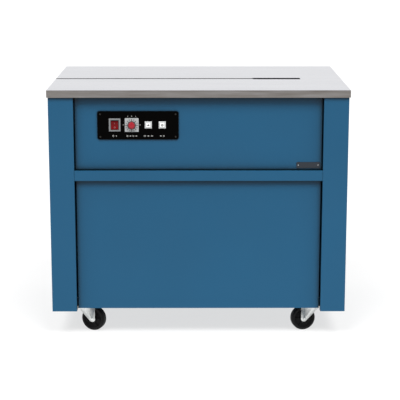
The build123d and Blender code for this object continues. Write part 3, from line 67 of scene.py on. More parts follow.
def length(label, text, value):
    """A length property in metres."""
    return FloatProperty(name=label, description=text, default=value, subtype="DISTANCE",
                         unit="LENGTH", precision=5)


def degrees(label, text, value):
    """An angle property, its default given in degrees."""
    return FloatProperty(name=label, description=text, default=math.radians(value),
                         subtype="ANGLE")


class FinishSettings(bpy.types.PropertyGroup):
    """Colours of the machine's finishes."""

    cabinet: colour("Cabinet blue", "Powder coat of the cabinet", (0.0085, 0.066, 0.135))
    table: colour("Table steel", "Brushed stainless of the table's top", (0.70, 0.705, 0.735))
    # Painted shade: the colour that every table face not facing up takes, the turned-down rim
    # among them.
    rim: colour("Rim steel", "Ground stainless of the table's turned-down rim",
                (0.205, 0.185, 0.168))
    # Painted shade: the nearly black walls of the slit and the head's opening.
    slit: colour("Slit steel", "Darkened cut edges of the slit and the head's opening",
                 (0.020, 0.020, 0.021))
    zinc: colour("Zinc", "Bright zinc plate of forks and brackets", (0.86, 0.88, 0.87))
    machined: colour("Machined steel", "Machined parts of the head", (0.42, 0.43, 0.45))
    oiled: colour("Oiled steel", "Blackened parts of the head", (0.022, 0.022, 0.024))
    fascia: colour("Fascia black", "Control plate", (0.0007, 0.0006, 0.0006))
    moulding: colour("Black plastic", "Small moulded parts", (0.010, 0.010, 0.011))
    pale: colour("Pale plastic", "Buttons", (0.75, 0.76, 0.75))
    print: colour("Pale print", "Marks and pictograms on the fascia", (0.36, 0.355, 0.34))
    faded: colour("Faded print", "Marks on the rocker", (0.26, 0.10, 0.10))
    bezel: colour("Bezel grey", "Dial plate", (0.31, 0.32, 0.325))
    switch_frame: colour("Switch frame", "Frame round the rocker", (0.150, 0.156, 0.160))
    button_bezel: colour("Button bezel", "Surround of the buttons", (0.44, 0.45, 0.45))
    red: colour("Signal red", "Dial knob", (0.235, 0.012, 0.020))
    rocker: colour("Rocker red", "Unlit translucent rocker", (0.118, 0.0020, 0.0035))
    tread: colour("Tread", "Caster wheels", (0.0045, 0.0045, 0.0048))
    grey: colour("Frame grey", "Painted inner frames", (0.19, 0.20, 0.21))
    cast: colour("Cast iron", "Gearbox and pulleys", (0.10, 0.105, 0.11))
    motor: colour("Motor enamel", "Drive motor", (0.035, 0.045, 0.055))
    strap: colour("Strap", "Polypropylene strap on the reel", (0.72, 0.56, 0.13))
    board: colour("Board green", "Control board", (0.01, 0.12, 0.045))
    brass: colour("Brass", "Heater carriage", (0.55, 0.38, 0.13))
    channel: colour("Channel steel", "Strap channel below the slit", (0.06, 0.06, 0.062))
    screw: colour("Screw steel", "Screws of the control plate", (0.05, 0.047, 0.042))
    # Also the painted shadow round the dial knob.
    dark_print_and_knob_shadow: colour("Dark print", "Marks on pale plastic", (0.012, 0.012, 0.014))
    badge: colour("Badge black", "Blank badge at the front", (0.006, 0.010, 0.016))
    data_plate: colour("Plate steel", "Blank data plate behind", (0.55, 0.55, 0.56))


class DialSettings(bpy.types.PropertyGroup):
    """Scale of the length dial."""

    ticks: IntProperty(name="Ticks", description="Marks round the dial", default=16, min=4)
    inner: length("Inner radius", "Where the long marks start", 0.0120)
    outer: length("Outer radius", "Where all the marks end", 0.0192)
    long_tick: length("Long mark", "Length of every second mark", 0.0072)
    short_tick: length("Short mark", "Length of the marks between", 0.0034)
    thick: length("Mark width", "Width of one mark", 0.0017)
    print_height: length("Print height", "Height of printed ink above its surface", 0.00012)


class PrintSettings(bpy.types.PropertyGroup):
    """Pictograms below the controls."""

    drop: length("Row below controls", "Pictograms below the controls' middle", 0.0333)
    size: length("Pictogram height", "Height of one pictogram", 0.0056)
    pitch: length("Pictogram pitch", "Distance between pictograms in a row", 0.0088)


class LouvreSettings(bpy.types.PropertyGroup):
    """Hoods over the rear panel's slots."""

    columns: IntProperty(name="Columns", description="Slots side by side", default=4, min=1)
    rows: IntProperty(name="Rows", description="Slots above each other", default=7, min=1)
    pitch_x: length("Column pitch", "Distance between columns", 0.150)
    pitch_z: length("Row pitch", "Distance between rows", 0.018)
    width: length("Hood width", "Width of one hood", 0.112)
    reach: length("Hood reach", "How far a hood stands off the panel", 0.0065)
    drop: length("Hood drop", "Hood's lower edge below its slot's middle", 0.0030)
    sheet: length("Sheet", "Thickness of the pressed sheet", 0.0012)


class StageSettings(bpy.types.PropertyGroup):
    """Camera, key lights, floor and room."""

    focal: FloatProperty(name="Focal length", description="Camera lens in millimetres",
                         default=112.5, min=10.0)
    place: FloatVectorProperty(name="Camera place", description="Camera position", size=3,
                               default=(-0.006, -3.945, 1.270), subtype="TRANSLATION")
    pitch: degrees("Pitch down", "Camera tilt below level", 11.17)
    yaw: degrees("Yaw", "Camera turn to the right", 0.16)
    shift: FloatProperty(name="Shift", description="Vertical lens shift", default=-0.0990)
    horizon: FloatProperty(name="Backdrop", description="Brightness of the wall behind",
                           default=1.02)
    front: FloatProperty(name="Room", description="Brightness of the room in front",
                         default=0.52)
    key: FloatProperty(name="Key strength", description="Each soft key light", default=2.6)
    key_side: degrees("Key azimuth", "Each key light, left and right of the front", 32.0)
    key_height: degrees("Key height", "Key lights above the floor", 55.5)
    key_spread: degrees("Key softness", "Width of each key light in the sky", 24.0)
    floor: colour("Floor", "Pale floor", (0.20, 0.20, 0.20))
    floor_glow: FloatProperty(name="Floor glow", description="Light that the floor gives off",
                              default=0.68)


# ---- finishes -----------------------------------------------------------------------
class Finish:
    """A material under construction: one shader, fed by patterns in object space."""

    def __init__(self, name, base, metallic=0.0, roughness=0.5, **sockets):
        self.material = bpy.data.materials.new(name)
        self.material.use_nodes = True
        self.tree = self.material.node_tree
        self.shader = self.tree.nodes["Principled BSDF"]
        self.base = base
        self.shader.inputs["Base Color"].default_value = (*base, 1.0)
        self.shader.inputs["Metallic"].default_value = metallic
        self.shader.inputs["Roughness"].default_value = roughness
        for socket, value in sockets.items():
            self.shader.inputs[socket.replace("_", " ")].default_value = value
        self.place = self.add("TexCoord").outputs["Object"]
        self.normal = None
        self.hue = None

    def add(self, kind, **sockets):
        """Adds a node and sets its named inputs."""
        node = self.tree.nodes.new(f"ShaderNode{kind}")
        for socket, value in sockets.items():
            node.inputs[socket.replace("_", " ")].default_value = value
        return node

    def join(self, output, node, socket):
        """Feeds an output into a node's named input."""
        self.tree.links.new(output, node.inputs[socket])

    def mapped(self, stretch=(1, 1, 1), centre=(0, 0, 0), turn=(0, 0, 0)):
        """Object coordinates, centred, turned and stretched."""
        node = self.add("Mapping", Location=[-c * s for c, s in zip(centre, stretch)],
                        Rotation=turn, Scale=stretch)
        self.join(self.place, node, "Vector")
        return node.outputs["Vector"]

    def grain(self, scale, stretch=(1, 1, 1), detail=3.0, rough=0.55):
        """Noise of a given size, stretched along an axis for a brushed look."""
        node = self.add("TexNoise", Scale=scale, Detail=detail, Roughness=rough)
        self.join(self.mapped(stretch), node, "Vector")
        return node.outputs["Fac"]

    def rings(self, scale, centre, turn=(0, 0, 0), distortion=0.0):
        """Circular lines round an axis through centre, along Z before the turn."""
        node = self.add("TexWave", Scale=scale, Distortion=distortion)
        node.wave_type = "RINGS"
        node.rings_direction = "Z"
        self.join(self.mapped(centre=centre, turn=turn), node, "Vector")
        return node.outputs["Fac"]

    def bands(self, scale, axis):
        """Even lines across an axis."""
        node = self.add("TexWave", Scale=scale)
        node.bands_direction = axis
        self.join(self.place, node, "Vector")
        return node.outputs["Fac"]

    def along(self, vector, axis):
        """A vector output's part along an axis."""
        split = self.add("SeparateXYZ")
        self.join(vector, split, "Vector")
        return split.outputs[axis]

    def facing(self, axis):
        """1 where the surface's normal points along +axis, 0 where it doesn't."""
        normal = self.add("NewGeometry").outputs["Normal"]
        return self.span(self.along(normal, axis), 0.35, 0.75, 0.0, 1.0)

    def span(self, value, low, high, to_low, to_high):
        """Maps a value's span onto another."""
        node = self.add("MapRange", From_Min=low, From_Max=high, To_Min=to_low,
                        To_Max=to_high)
        self.join(value, node, "Value")
        return node.outputs["Result"]

    def tint(self, value, dark, light, low=0.35, high=0.65):
        """Varies the base colour between two shades of itself."""
        node = self.add("ValToRGB")
        for stop, place, shade in zip(node.color_ramp.elements, (low, high), (dark, light)):
            stop.position = place
            stop.color = (*[min(1, part * shade) for part in self.base], 1.0)
        self.join(value, node, "Fac")
        return self.painted(node.outputs["Color"])

    def painted(self, output):
        """Makes a colour output the base colour."""
        self.hue = output
        self.join(output, self.shader, "Base Color")
        return self

    def blend(self, value, other, mode="MIX"):
        """Mixes the base colour so far with another one, by value."""
        node = self.add("Mix")
        node.data_type = "RGBA"
        node.blend_type = mode
        first, second = [i for i in node.inputs if i.type == "RGBA"]
        second.default_value = (*other, 1.0)
        self.join(value, node, "Factor")
        self.tree.links.new(self.hue, first)
        return self.painted(next(o for o in node.outputs if o.type == "RGBA"))

    def paint_corner_shade(self, reach, shade, low=0.50, high=0.96):
        """Paints shade into the base colour in corners and folds: darker where ambient occlusion
        finds surfaces close by.
        """
        node = self.add("AmbientOcclusion", Distance=reach)
        node.samples = 6
        return self.blend(self.span(node.outputs["AO"], low, high, 1.0, 0.0), shade,
                          "MULTIPLY")

    def near(self, axis, middle, half):
        """1 within half of a plane across an axis, 0 away from it."""
        away = self.reckon("SUBTRACT", self.along(self.place, axis), middle)
        return self.reckon("LESS_THAN", self.reckon("ABSOLUTE", away), half)

    def both(self, first, second):
        """1 where two masks are both 1."""
        return self.reckon("MULTIPLY", first, second)

    def reckon(self, operation, first, second=None):
        """One step of arithmetic on an output and a number or a second output."""
        node = self.add("Math")
        node.operation = operation
        self.tree.links.new(first, node.inputs[0])
        if isinstance(second, (int, float)):
            node.inputs[1].default_value = second
        elif second is not None:
            self.tree.links.new(second, node.inputs[1])
        return node.outputs["Value"]

    def roughen(self, value, smooth, rough):
        """Varies the roughness."""
        self.join(self.span(value, 0.3, 0.7, smooth, rough), self.shader, "Roughness")
        return self

    def emboss(self, value, strength, depth):
        """Adds a bump on top of those there are."""
        node = self.add("Bump", Strength=strength, Distance=depth)
        self.join(value, node, "Height")
        if self.normal:
            self.join(self.normal, node, "Normal")
        self.normal = node.outputs["Normal"]
        self.join(self.normal, self.shader, "Normal")
        return self


def powder_coat(name, base, speck=420.0):
    """Semi-gloss powder coat with an orange-peel skin and painted shade in its corners and
    folds.
    """
    coat = Finish(name, base, roughness=0.42, Specular_IOR_Level=0.22)
    coat.tint(coat.grain(2.2, detail=2.0), 0.965, 1.035)
    # Painted shade: the coat darkens, warm-toned, in corners and folds and under overhangs such
    # as the table and the rail.
    coat.paint_corner_shade(0.075, (0.20, 0.14, 0.12), low=0.60, high=0.98)
    coat.roughen(coat.grain(9.0), 0.37, 0.47)
    coat.emboss(coat.grain(speck, detail=1.5), 0.10, 0.0003)
    coat.emboss(coat.grain(5.5, detail=1.0), 0.05, 0.002)
    return coat.material


def table_steel(name, base):
    """Stainless brushed along X; painted shade darkens every face that doesn't face up, the rim
    among them, and turns the walls of the slit and the head's opening nearly black.
    """
    hues = settings("machine_finishes")
    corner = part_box("table_top")[1]
    low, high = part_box("anvil_plate")
    steel = Finish(name, base, metallic=1.0, roughness=0.33)
    brush = steel.grain(1.0, stretch=(5.0, 620.0, 620.0), detail=4.0, rough=0.7)
    steel.tint(brush, 0.94, 1.04, 0.3, 0.7)
    # Painted shade: faces that don't face up, the rim among them, take the darker rim colour, in
    # streaks.
    upright = steel.span(steel.facing("Z"), 0.0, 1.0, 1.0, 0.0)
    rim_shade_streaks = steel.grain(1.0, stretch=(7.0, 7.0, 90.0), detail=3.0)
    steel.blend(steel.both(upright, steel.span(rim_shade_streaks, 0.3, 0.7, 0.80, 1.0)), hues.rim)
    # Painted shade: the walls of the slit and the head's opening, within 4 mm of the table's
    # top, are nearly black.
    slit = steel.both(steel.near("Y", (low.y + high.y) / 2, (high.y - low.y) * 0.75),
                      steel.near("X", 0.0, corner.x - 0.003))
    slit_wall_shade = steel.both(upright, steel.both(slit, steel.near("Z", corner.z, 0.004)))
    steel.blend(slit_wall_shade, hues.slit)
    steel.roughen(steel.grain(1.0, stretch=(3.0, 260.0, 260.0)), 0.27, 0.42)
    steel.emboss(brush, 0.12, 0.0002)
    steel.emboss(steel.grain(3.0, detail=1.0), 0.04, 0.004)
    return steel.material


def brushed(name, base):
    """Steel sheet brushed along X."""
    steel = Finish(name, base, metallic=1.0, roughness=0.34)
    brush = steel.grain(1.0, stretch=(4.0, 500.0, 500.0), detail=4.0, rough=0.7)
    steel.tint(brush, 0.90, 1.05, 0.3, 0.7)
    steel.roughen(brush, 0.26, 0.42)
    steel.emboss(brush, 0.15, 0.0002)
    return steel.material


def zinc_plate(name, base):
    """Bright zinc with the faint cloudiness of barrel plating."""
    zinc = Finish(name, base, metallic=0.75, roughness=0.38)
    zinc.tint(zinc.grain(60.0, detail=4.0), 0.90, 1.04)
    zinc.roughen(zinc.grain(140.0), 0.30, 0.46)
    zinc.emboss(zinc.grain(900.0, detail=2.0), 0.10, 0.0001)
    return zinc.material


def machined(name, base):
    """Milled or turned steel with fine tool marks and an oil film."""
    steel = Finish(name, base, metallic=1.0, roughness=0.32, Coat_Weight=0.15)
    marks = steel.grain(1.0, stretch=(900.0, 60.0, 900.0), detail=3.0)
    steel.tint(marks, 0.84, 1.06)
    steel.roughen(steel.grain(45.0), 0.24, 0.42)
    steel.emboss(marks, 0.18, 0.0001)
    return steel.material


def oiled(name, base):
    """Blackened tool steel with an oil film."""
    steel = Finish(name, base, metallic=0.3, roughness=0.55, Specular_IOR_Level=0.3)
    steel.tint(steel.grain(90.0, detail=4.0), 0.7, 1.3)
    steel.roughen(steel.grain(30.0), 0.46, 0.64)
    steel.emboss(steel.grain(700.0), 0.15, 0.0001)
    return steel.material


def cast_iron(name, base):
    """Sand-cast iron under thin paint."""
    iron = Finish(name, base, metallic=0.35, roughness=0.62)
    iron.tint(iron.grain(25.0, detail=5.0), 0.78, 1.2)
    iron.roughen(iron.grain(60.0), 0.5, 0.72)
    iron.emboss(iron.grain(420.0, detail=3.0), 0.45, 0.0006)
    return iron.material


def moulded(name, base, roughness=(0.36, 0.5), bump=0.12, **sockets):
    """Moulded plastic with a fine spark-eroded grain."""
    plastic = Finish(name, base, roughness=roughness[0], **sockets)
    plastic.tint(plastic.grain(20.0), 0.96, 1.04)
    plastic.roughen(plastic.grain(90.0), *roughness)
    plastic.emboss(plastic.grain(1400.0, detail=1.0), bump, 0.0001)
    return plastic.material


def switch_bezel(name, base):
    """Grey frame with a dark moulded well round the rocker."""
    middle = node_middle("switch_housing")
    bezel = Finish(name, base, roughness=0.4)
    bezel.tint(bezel.grain(20.0), 0.96, 1.04)
    well = bezel.both(bezel.near("X", middle.x, 0.0124), bezel.near("Z", middle.z, 0.0150))
    bezel.blend(well, settings("machine_finishes").moulding)
    bezel.roughen(bezel.grain(90.0), 0.36, 0.5)
    bezel.emboss(bezel.grain(1400.0, detail=1.0), 0.12, 0.0001)
    return bezel.material


def rocker_plastic(name, base):
    """Glossy translucent red, with painted shade where it goes down into its well."""
    red = Finish(name, base, roughness=0.16, Specular_IOR_Level=0.12)
    red.tint(red.grain(20.0), 0.92, 1.08)
    # Painted shade: the red darkens at its edges, where it goes down into its well.
    red.paint_corner_shade(0.013, (0.12, 0.10, 0.10))
    red.roughen(red.grain(90.0), 0.12, 0.22)
    red.emboss(red.grain(1400.0, detail=1.0), 0.03, 0.0001)
    return red.material


def hard_rubber(name, base):
    """Hard rubber with moulding marks and a trace of dust."""
    rubber = Finish(name, base, roughness=0.55, Specular_IOR_Level=0.16)
    rubber.tint(rubber.grain(70.0, detail=5.0), 0.75, 1.7, 0.4, 0.75)
    rubber.roughen(rubber.grain(40.0), 0.42, 0.66)
    rubber.emboss(rubber.grain(800.0), 0.25, 0.0002)
    return rubber.material


def wound_strap(name, base):
    """Strap wound in even layers: rings on the coil's faces, embossing on its outside."""
    strap = Finish(name, base, roughness=0.34, Coat_Weight=0.2)
    layers = strap.rings(190.0, node_middle("strap_coil"), turn=(math.radians(90), 0, 0),
                         distortion=0.6)
    strap.tint(layers, 0.72, 1.08, 0.2, 0.8)
    strap.roughen(strap.grain(120.0), 0.28, 0.46)
    strap.emboss(layers, 0.5, 0.0004)
    strap.emboss(strap.bands(80.0, "Y"), 0.25, 0.0003)
    return strap.material


def circuit_board(name, base):
    """Green solder resist with a faint pattern of tracks."""
    board = Finish(name, base, roughness=0.3, Coat_Weight=0.4)
    board.tint(board.grain(1.0, stretch=(300.0, 300.0, 40.0), detail=0.0), 0.6, 1.6, 0.48, 0.5)
    board.roughen(board.grain(200.0), 0.25, 0.4)
    board.emboss(board.grain(500.0), 0.2, 0.0001)
    return board.material


def ink(name, base):
    """Screen-printed ink."""
    mark = Finish(name, base, roughness=0.6)
    mark.tint(mark.grain(600.0), 0.93, 1.0)
    mark.roughen(mark.grain(300.0), 0.5, 0.7)
    return mark.material


# Each finish: its maker, its colour in the settings and the maker's options.
FINISHES = {
    "cabinet_blue_coat": (powder_coat, "cabinet", {}),
    "frame_grey_coat": (powder_coat, "grey", {"speck": 300.0}),
    "bright_zinc": (zinc_plate, "zinc", {}),
    "brushed_table": (table_steel, "table", {}),
    "channel_steel": (brushed, "channel", {}),
    "plate_steel": (brushed, "data_plate", {}),
    "machined_steel": (machined, "machined", {}),
    "heater_brass": (machined, "brass", {}),
    "screw_steel": (machined, "screw", {}),
    "black_oxide": (oiled, "oiled", {}),
    "painted_casting": (cast_iron, "cast", {}),
    "motor_enamel": (cast_iron, "motor", {}),
    "black_moulding": (moulded, "moulding", {}),
    "pale_moulding": (moulded, "pale", {}),
    "bezel_grey": (moulded, "bezel", {}),
    "button_bezel": (moulded, "button_bezel", {}),
    "badge_black": (moulded, "badge", {"roughness": (0.3, 0.4)}),
    "fascia_black": (moulded, "fascia", {"roughness": (0.22, 0.34), "bump": 0.04,
                                         "Specular_IOR_Level": 0.02}),
    "signal_red": (moulded, "red", {"roughness": (0.22, 0.34), "bump": 0.05,
                                    "Specular_IOR_Level": 0.3}),
    "switch_bezel": (switch_bezel, "switch_frame", {}),
    "rocker_red": (rocker_plastic, "rocker", {}),
    "caster_rubber": (hard_rubber, "tread", {}),
    "belt_rubber": (hard_rubber, "tread", {}),
    "wound_strap": (wound_strap, "strap", {}),
    "board_green": (circuit_board, "board", {}),
    "print_black": (ink, "dark_print_and_knob_shadow", {}),
    "print_pale": (ink, "print", {}),
    "print_faded": (ink, "faded", {}),
}


# ---- pieces -------------------------------------------------------------------------
def settings(group):
    """The scene's settings of one group."""
    return getattr(bpy.context.scene, group)


def finish(name):
    """The material of that name, made on first use."""
    maker, hue, options = FINISHES[name]
    return bpy.data.materials.get(name) or maker(
        name, getattr(settings("machine_finishes"), hue), **options)


def dress(material, *nodes):
    """Gives CAD nodes a finish."""
    for node in nodes:
        slots = frame["nodes"][node].data.materials
        slots.clear()
        slots.append(finish(material))


def stand(name, data):
    """Puts an object with that data into the scene."""
    thing = bpy.data.objects.new(name, data)
    bpy.context.scene.collection.objects.link(thing)
    return thing


def built(name, shape, material, smooth=None):
    """Turns a bmesh into an object with a material."""
    mesh = bpy.data.meshes.new(name)
    shape.to_mesh(mesh)
    shape.free()
    mesh.materials.append(material)
    if smooth:
        mesh.shade_smooth()
        mesh.set_sharp_from_angle(angle=math.radians(smooth))
    return stand(name, mesh)


def piece(name, shape, material, body, smooth=None):
    """Turns a bmesh into a piece with a finish, which rides on a body."""
    bmesh.ops.recalc_face_normals(shape, faces=shape.faces)
    thing = built(name, shape, finish(material), smooth)
    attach(thing, body)


def rounded_copy(node, body, material):
    """A CAD node's own shape with its curved faces shaded smooth."""
    shape = bmesh.new()
    shape.from_mesh(frame["nodes"][node].data)
    bmesh.ops.remove_doubles(shape, verts=shape.verts, dist=1e-6)
    thing = built(f"{node}_shaded", shape, finish(material), smooth=32.0)
    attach(thing, body)
    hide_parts(node)


def add_block(shape, size, place, turn=None):
    """Adds a block to a bmesh: its size, its middle and an optional turn before placing."""
    matrix = Matrix.Translation(place) @ (turn or Matrix()) @ Matrix.Diagonal((*size, 1.0))
    return bmesh.ops.create_cube(shape, size=1.0, matrix=matrix)["verts"]


def add_disc(shape, radius, depth, place, sides):
    """Adds a disc that faces -Y, centred on place."""
    matrix = Matrix.Translation(place) @ Matrix.Rotation(math.radians(90), 4, "X")
    return bmesh.ops.create_cone(shape, cap_ends=True, segments=sides, radius1=radius,
                                 radius2=radius, depth=depth, matrix=matrix)["verts"]


def add_ring(shape, radius, width, depth, place, sides=28, start=0.0, sweep=math.tau):
    """Adds a flat ring, or part of one, that faces -Y: a small section spun about Y."""
    x, y, z = place
    at = Vector((x + radius * math.cos(start), y, z + radius * math.sin(start)))
    out = Vector((math.cos(start), 0, math.sin(start)))
    half = out * width / 2
    back = Vector((0, depth / 2, 0))
    corners = [shape.verts.new(at + a + b)
               for a, b in ((half, back), (half, -back), (-half, -back), (-half, back))]
    section = [shape.edges.new((corners[k - 1], corners[k])) for k in range(4)]
    whole = abs(sweep - math.tau) < 1e-6
    if not whole:
        section.append(shape.faces.new(corners))
    bmesh.ops.spin(shape, geom=[*section, *corners], cent=place, axis=(0, -1, 0),
                   angle=sweep, steps=sides, use_merge=whole, use_duplicate=False)


def thicken(shape, face, way):
    """Extrudes a face by a vector."""
    grown = bmesh.ops.extrude_face_region(shape, geom=[face])["geom"]
    bmesh.ops.translate(shape, vec=way,
                        verts=[part for part in grown if isinstance(part, bmesh.types.BMVert)])


def add_arrow(shape, size, depth, place, way=1):
    """Adds a flat arrow that points along +X or -X and faces -Y."""
    x, y, z = place
    outline = ((-0.5, 0.14), (0.02, 0.14), (0.02, 0.42), (0.5, 0.0), (0.02, -0.42),
               (0.02, -0.14), (-0.5, -0.14))
    verts = [shape.verts.new((x + way * u * size, y, z + v * size)) for u, v in outline]
    face = shape.faces.new(verts)
    thicken(shape, face, (0, -depth, 0))


def named_joint(name):
    """The frame's joint of that name."""
    return next(joint for joint in frame["joints"] if joint["name"] == name)


def node_middle(node):
    """The middle of a CAD node's box."""
    low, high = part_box(node)
    return (low + high) / 2


class MachineOperator:
    """Shared options of the machine's operators."""

    bl_options = {"REGISTER", "UNDO"}


class FinishCabinet(MachineOperator, bpy.types.Operator):
    """Powder-coat the cabinet's sheets and paint the frames inside it"""

    bl_idname = "strapping.finish_cabinet"
    bl_label = "Finish cabinet"

    def execute(self, context):
        dress("cabinet_blue_coat", "left_side_panel", "right_side_panel", "cross_rails",
              "upper_front_panel", "rear_upper_panel", "rear_lower_panel", "base_tray",
              "front_door")
        dress("frame_grey_coat", "top_frame", "mechanism_frame", "reel_stand")
        dress("bright_zinc", "door_hinge_pins", "control_box")
        dress("black_moulding", "door_catches", "cable_gland")
        return {"FINISHED"}


class FinishTable(MachineOperator, bpy.types.Operator):
    """Brush the table's stainless sheet and the channel below its slit"""

    bl_idname = "strapping.finish_table"
    bl_label = "Finish table"

    def execute(self, context):
        dress("brushed_table", "table_top")
        dress("channel_steel", "strap_guide_channel")
        return {"FINISHED"}


class FinishControls(MachineOperator, bpy.types.Operator):
    """Give the control plate, switches, dial and buttons their plastics"""

    bl_idname = "strapping.finish_controls"
    bl_label = "Finish controls"

    def execute(self, context):
        dress("fascia_black", "control_plate")
        dress("screw_steel", "control_plate_screws")
        dress("switch_bezel", "switch_housing")
        dress("bezel_grey", "length_timer")
        dress("button_bezel", "button_housings")
        dress("pale_moulding", "feed_button", "reverse_button")
        dress("rocker_red", "power_rocker")
        rounded_copy("dial_knob", "knob", "signal_red")
        dress("board_green", "control_board")
        return {"FINISHED"}


class FinishCasters(MachineOperator, bpy.types.Operator):
    """Plate the forks and mould the wheels"""

    bl_idname = "strapping.finish_casters"
    bl_label = "Finish casters"

    def execute(self, context):
        dress("bright_zinc", "caster_plates", "caster_bolts")
        for corner in CORNERS:
            rounded_copy(f"{corner}_caster_fork", f"{corner}_fork", "bright_zinc")
            rounded_copy(f"{corner}_wheel", f"{corner}_wheel", "caster_rubber")
        return {"FINISHED"}


class FinishReel(MachineOperator, bpy.types.Operator):
    """Finish the reel, its coil of strap, its brake and the strap's rollers"""

    bl_idname = "strapping.finish_reel"
    bl_label = "Finish reel"

    def execute(self, context):
        dress("frame_grey_coat", "reel_front_flange")
        rounded_copy("reel_core", "reel", "frame_grey_coat")
        rounded_copy("strap_coil", "reel", "wound_strap")
        rounded_copy("reel_nut", "reel", "black_moulding")
        rounded_copy("reel_shaft", "cabinet", "bright_zinc")
        rounded_copy("brake_lever", "brake", "bright_zinc")
        rounded_copy("strap_roller", "strap_roller", "pale_moulding")
        return {"FINISHED"}


class FinishDrive(MachineOperator, bpy.types.Operator):
    """Finish the motor, gearbox, pulleys, belt and feed rollers"""

    bl_idname = "strapping.finish_drive"
    bl_label = "Finish drive"

    def execute(self, context):
        rounded_copy("gearbox", "cabinet", "painted_casting")
        rounded_copy("gearbox_pulley", "gearbox_pulley", "painted_casting")
        rounded_copy("motor_pulley", "motor_pulley", "painted_casting")
        rounded_copy("drive_motor", "cabinet", "motor_enamel")
        rounded_copy("drive_belt", "cabinet", "belt_rubber")
        dress("machined_steel", "feed_bracket")
        rounded_copy("feed_roller", "feed_roller", "machined_steel")
        rounded_copy("pinch_roller", "pinch_roller", "caster_rubber")
        return {"FINISHED"}


class FinishHead(MachineOperator, bpy.types.Operator):
    """Finish the sealing head's bed, bars, plates and camshaft"""

    bl_idname = "strapping.finish_head"
    bl_label = "Finish sealing head"

    def execute(self, context):
        dress("machined_steel", "left_gripper", "press_head", "right_gripper", "cutter_blade")
        rounded_copy("camshaft", "camshaft", "machined_steel")
        dress("black_oxide", "head_bed", "anvil_plate")
        dress("heater_brass", "heater_carriage")
        return {"FINISHED"}


class PrintDial(MachineOperator, bpy.types.Operator):
    """Print the dial's marks and a dark ring of painted shadow round the knob on its plate, and
    the pale marks on the fascia round it
    """

    bl_idname = "strapping.print_dial"
    bl_label = "Print dial marks"

    def execute(self, context):
        dial = settings("machine_dial")
        self.scale(dial, dial.print_height)
        self.fascia(dial.print_height)
        return {"FINISHED"}

    def scale(self, dial, ink_height):
        """A dark ring of painted shadow round the knob, with long and short marks outside it."""
        x, _, z = node_middle("length_timer")
        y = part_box("length_timer")[0].y - ink_height / 2
        shape = bmesh.new()
        # Painted shadow: the knob's shadow on the dial plate, drawn as a black printed ring.
        add_ring(shape, dial.inner - 0.0008, 0.0022, ink_height, (x, y, z), sides=48)
        for step in range(dial.ticks):
            angle = math.tau * step / dial.ticks
            reach = dial.short_tick if step % 2 else dial.long_tick
            radius = dial.outer - reach / 2
            add_block(shape, (reach, ink_height, dial.thick),
                      (x + radius * math.cos(angle), y, z + radius * math.sin(angle)),
                      Matrix.Rotation(-angle, 4, "Y"))
        piece("dial_plate_marks", shape, "print_black", "cabinet")

    def fascia(self, ink_height):
        """Short marks on the fascia: three above the dial, one each side and one below."""
        x, _, z = node_middle("length_timer")
        low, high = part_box("length_timer")
        half = (high.x - low.x) / 2
        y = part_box("control_plate")[0].y - ink_height / 2
        shape = bmesh.new()
        for dx, dz, wide, tall in ((-0.0118, half + 0.0052, 0.0011, 0.0030),
                                   (0.0, half + 0.0055, 0.0013, 0.0038),
                                   (0.0118, half + 0.0052, 0.0011, 0.0030),
                                   (-half - 0.0042, 0.0, 0.0036, 0.0013),
                                   (half + 0.0042, 0.0, 0.0036, 0.0013),
                                   (0.0, -half - 0.0018, 0.0011, 0.0014)):
            add_block(shape, (wide, ink_height, tall), (x + dx, y, z + dz))
        piece("fascia_dial_marks", shape, "print_pale", "cabinet")


class PrintPictograms(MachineOperator, bpy.types.Operator):
    """Print plain pictograms below the switch, the dial and the buttons"""

    bl_idname = "strapping.print_pictograms"
    bl_label = "Print pictograms"

    def execute(self, context):
        rows = settings("machine_prints")
        depth = settings("machine_dial").print_height
        size, pitch = rows.size, rows.pitch
        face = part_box("control_plate")[0].y - depth / 2
        z = node_middle("feed_button").z - rows.drop
        stroke = size * 0.17
        shape = bmesh.new()

        def power(x):
            """A ring open at its top, with a bar in the gap."""
            add_ring(shape, size * 0.36, stroke, depth, (x, face, z), start=math.radians(120),
                     sweep=math.radians(300), sides=20)
            add_block(shape, (stroke, depth, size * 0.42), (x, face, z + size * 0.29))

        def clock(x):
            """A ring with two hands."""
            add_ring(shape, size * 0.40, stroke * 0.8, depth, (x, face, z), sides=22)
            add_block(shape, (stroke * 0.8, depth, size * 0.3), (x, face, z + size * 0.13))
            add_block(shape, (size * 0.24, depth, stroke * 0.8), (x + size * 0.09, face, z))

        def bolt(x):
            """Two leaning bars with a short one between them."""
            for dx, dz, lean in ((-0.05, 0.2, -28), (0.05, -0.2, -28)):
                add_block(shape, (stroke * 1.2, depth, size * 0.5),
                          (x + dx * size, face, z + dz * size),
                          Matrix.Rotation(math.radians(lean), 4, "Y"))
            add_block(shape, (size * 0.42, depth, stroke), (x, face, z))

        def strip(x, wide):
            """Two level bars, as a length of strap."""
            for dz in (-0.24, 0.24):
                add_block(shape, (wide, depth, stroke), (x, face, z + dz * size))

        switch, dial = node_middle("switch_housing"), node_middle("length_timer")
        feed, reverse = node_middle("feed_button"), node_middle("reverse_button")
        power(switch.x - pitch / 2)
        bolt(switch.x + pitch / 2)
        clock(dial.x - 1.5 * pitch)
        add_arrow(shape, size, depth, (dial.x - 0.5 * pitch, face + depth / 2, z))
        strip(dial.x + 0.5 * pitch, size * 0.9)
        add_arrow(shape, size, depth, (dial.x + 1.5 * pitch, face + depth / 2, z))
        strip(feed.x - 1.2 * pitch, size * 1.1)
        add_arrow(shape, size, depth, (feed.x, face + depth / 2, z))
        strip(feed.x + 1.2 * pitch, size * 1.1)
        add_arrow(shape, size, depth, (reverse.x - pitch / 2, face + depth / 2, z), -1)
        strip(reverse.x + pitch / 2, size * 0.9)
        piece("fascia_pictograms", shape, "print_pale", "cabinet")
        return {"FINISHED"}


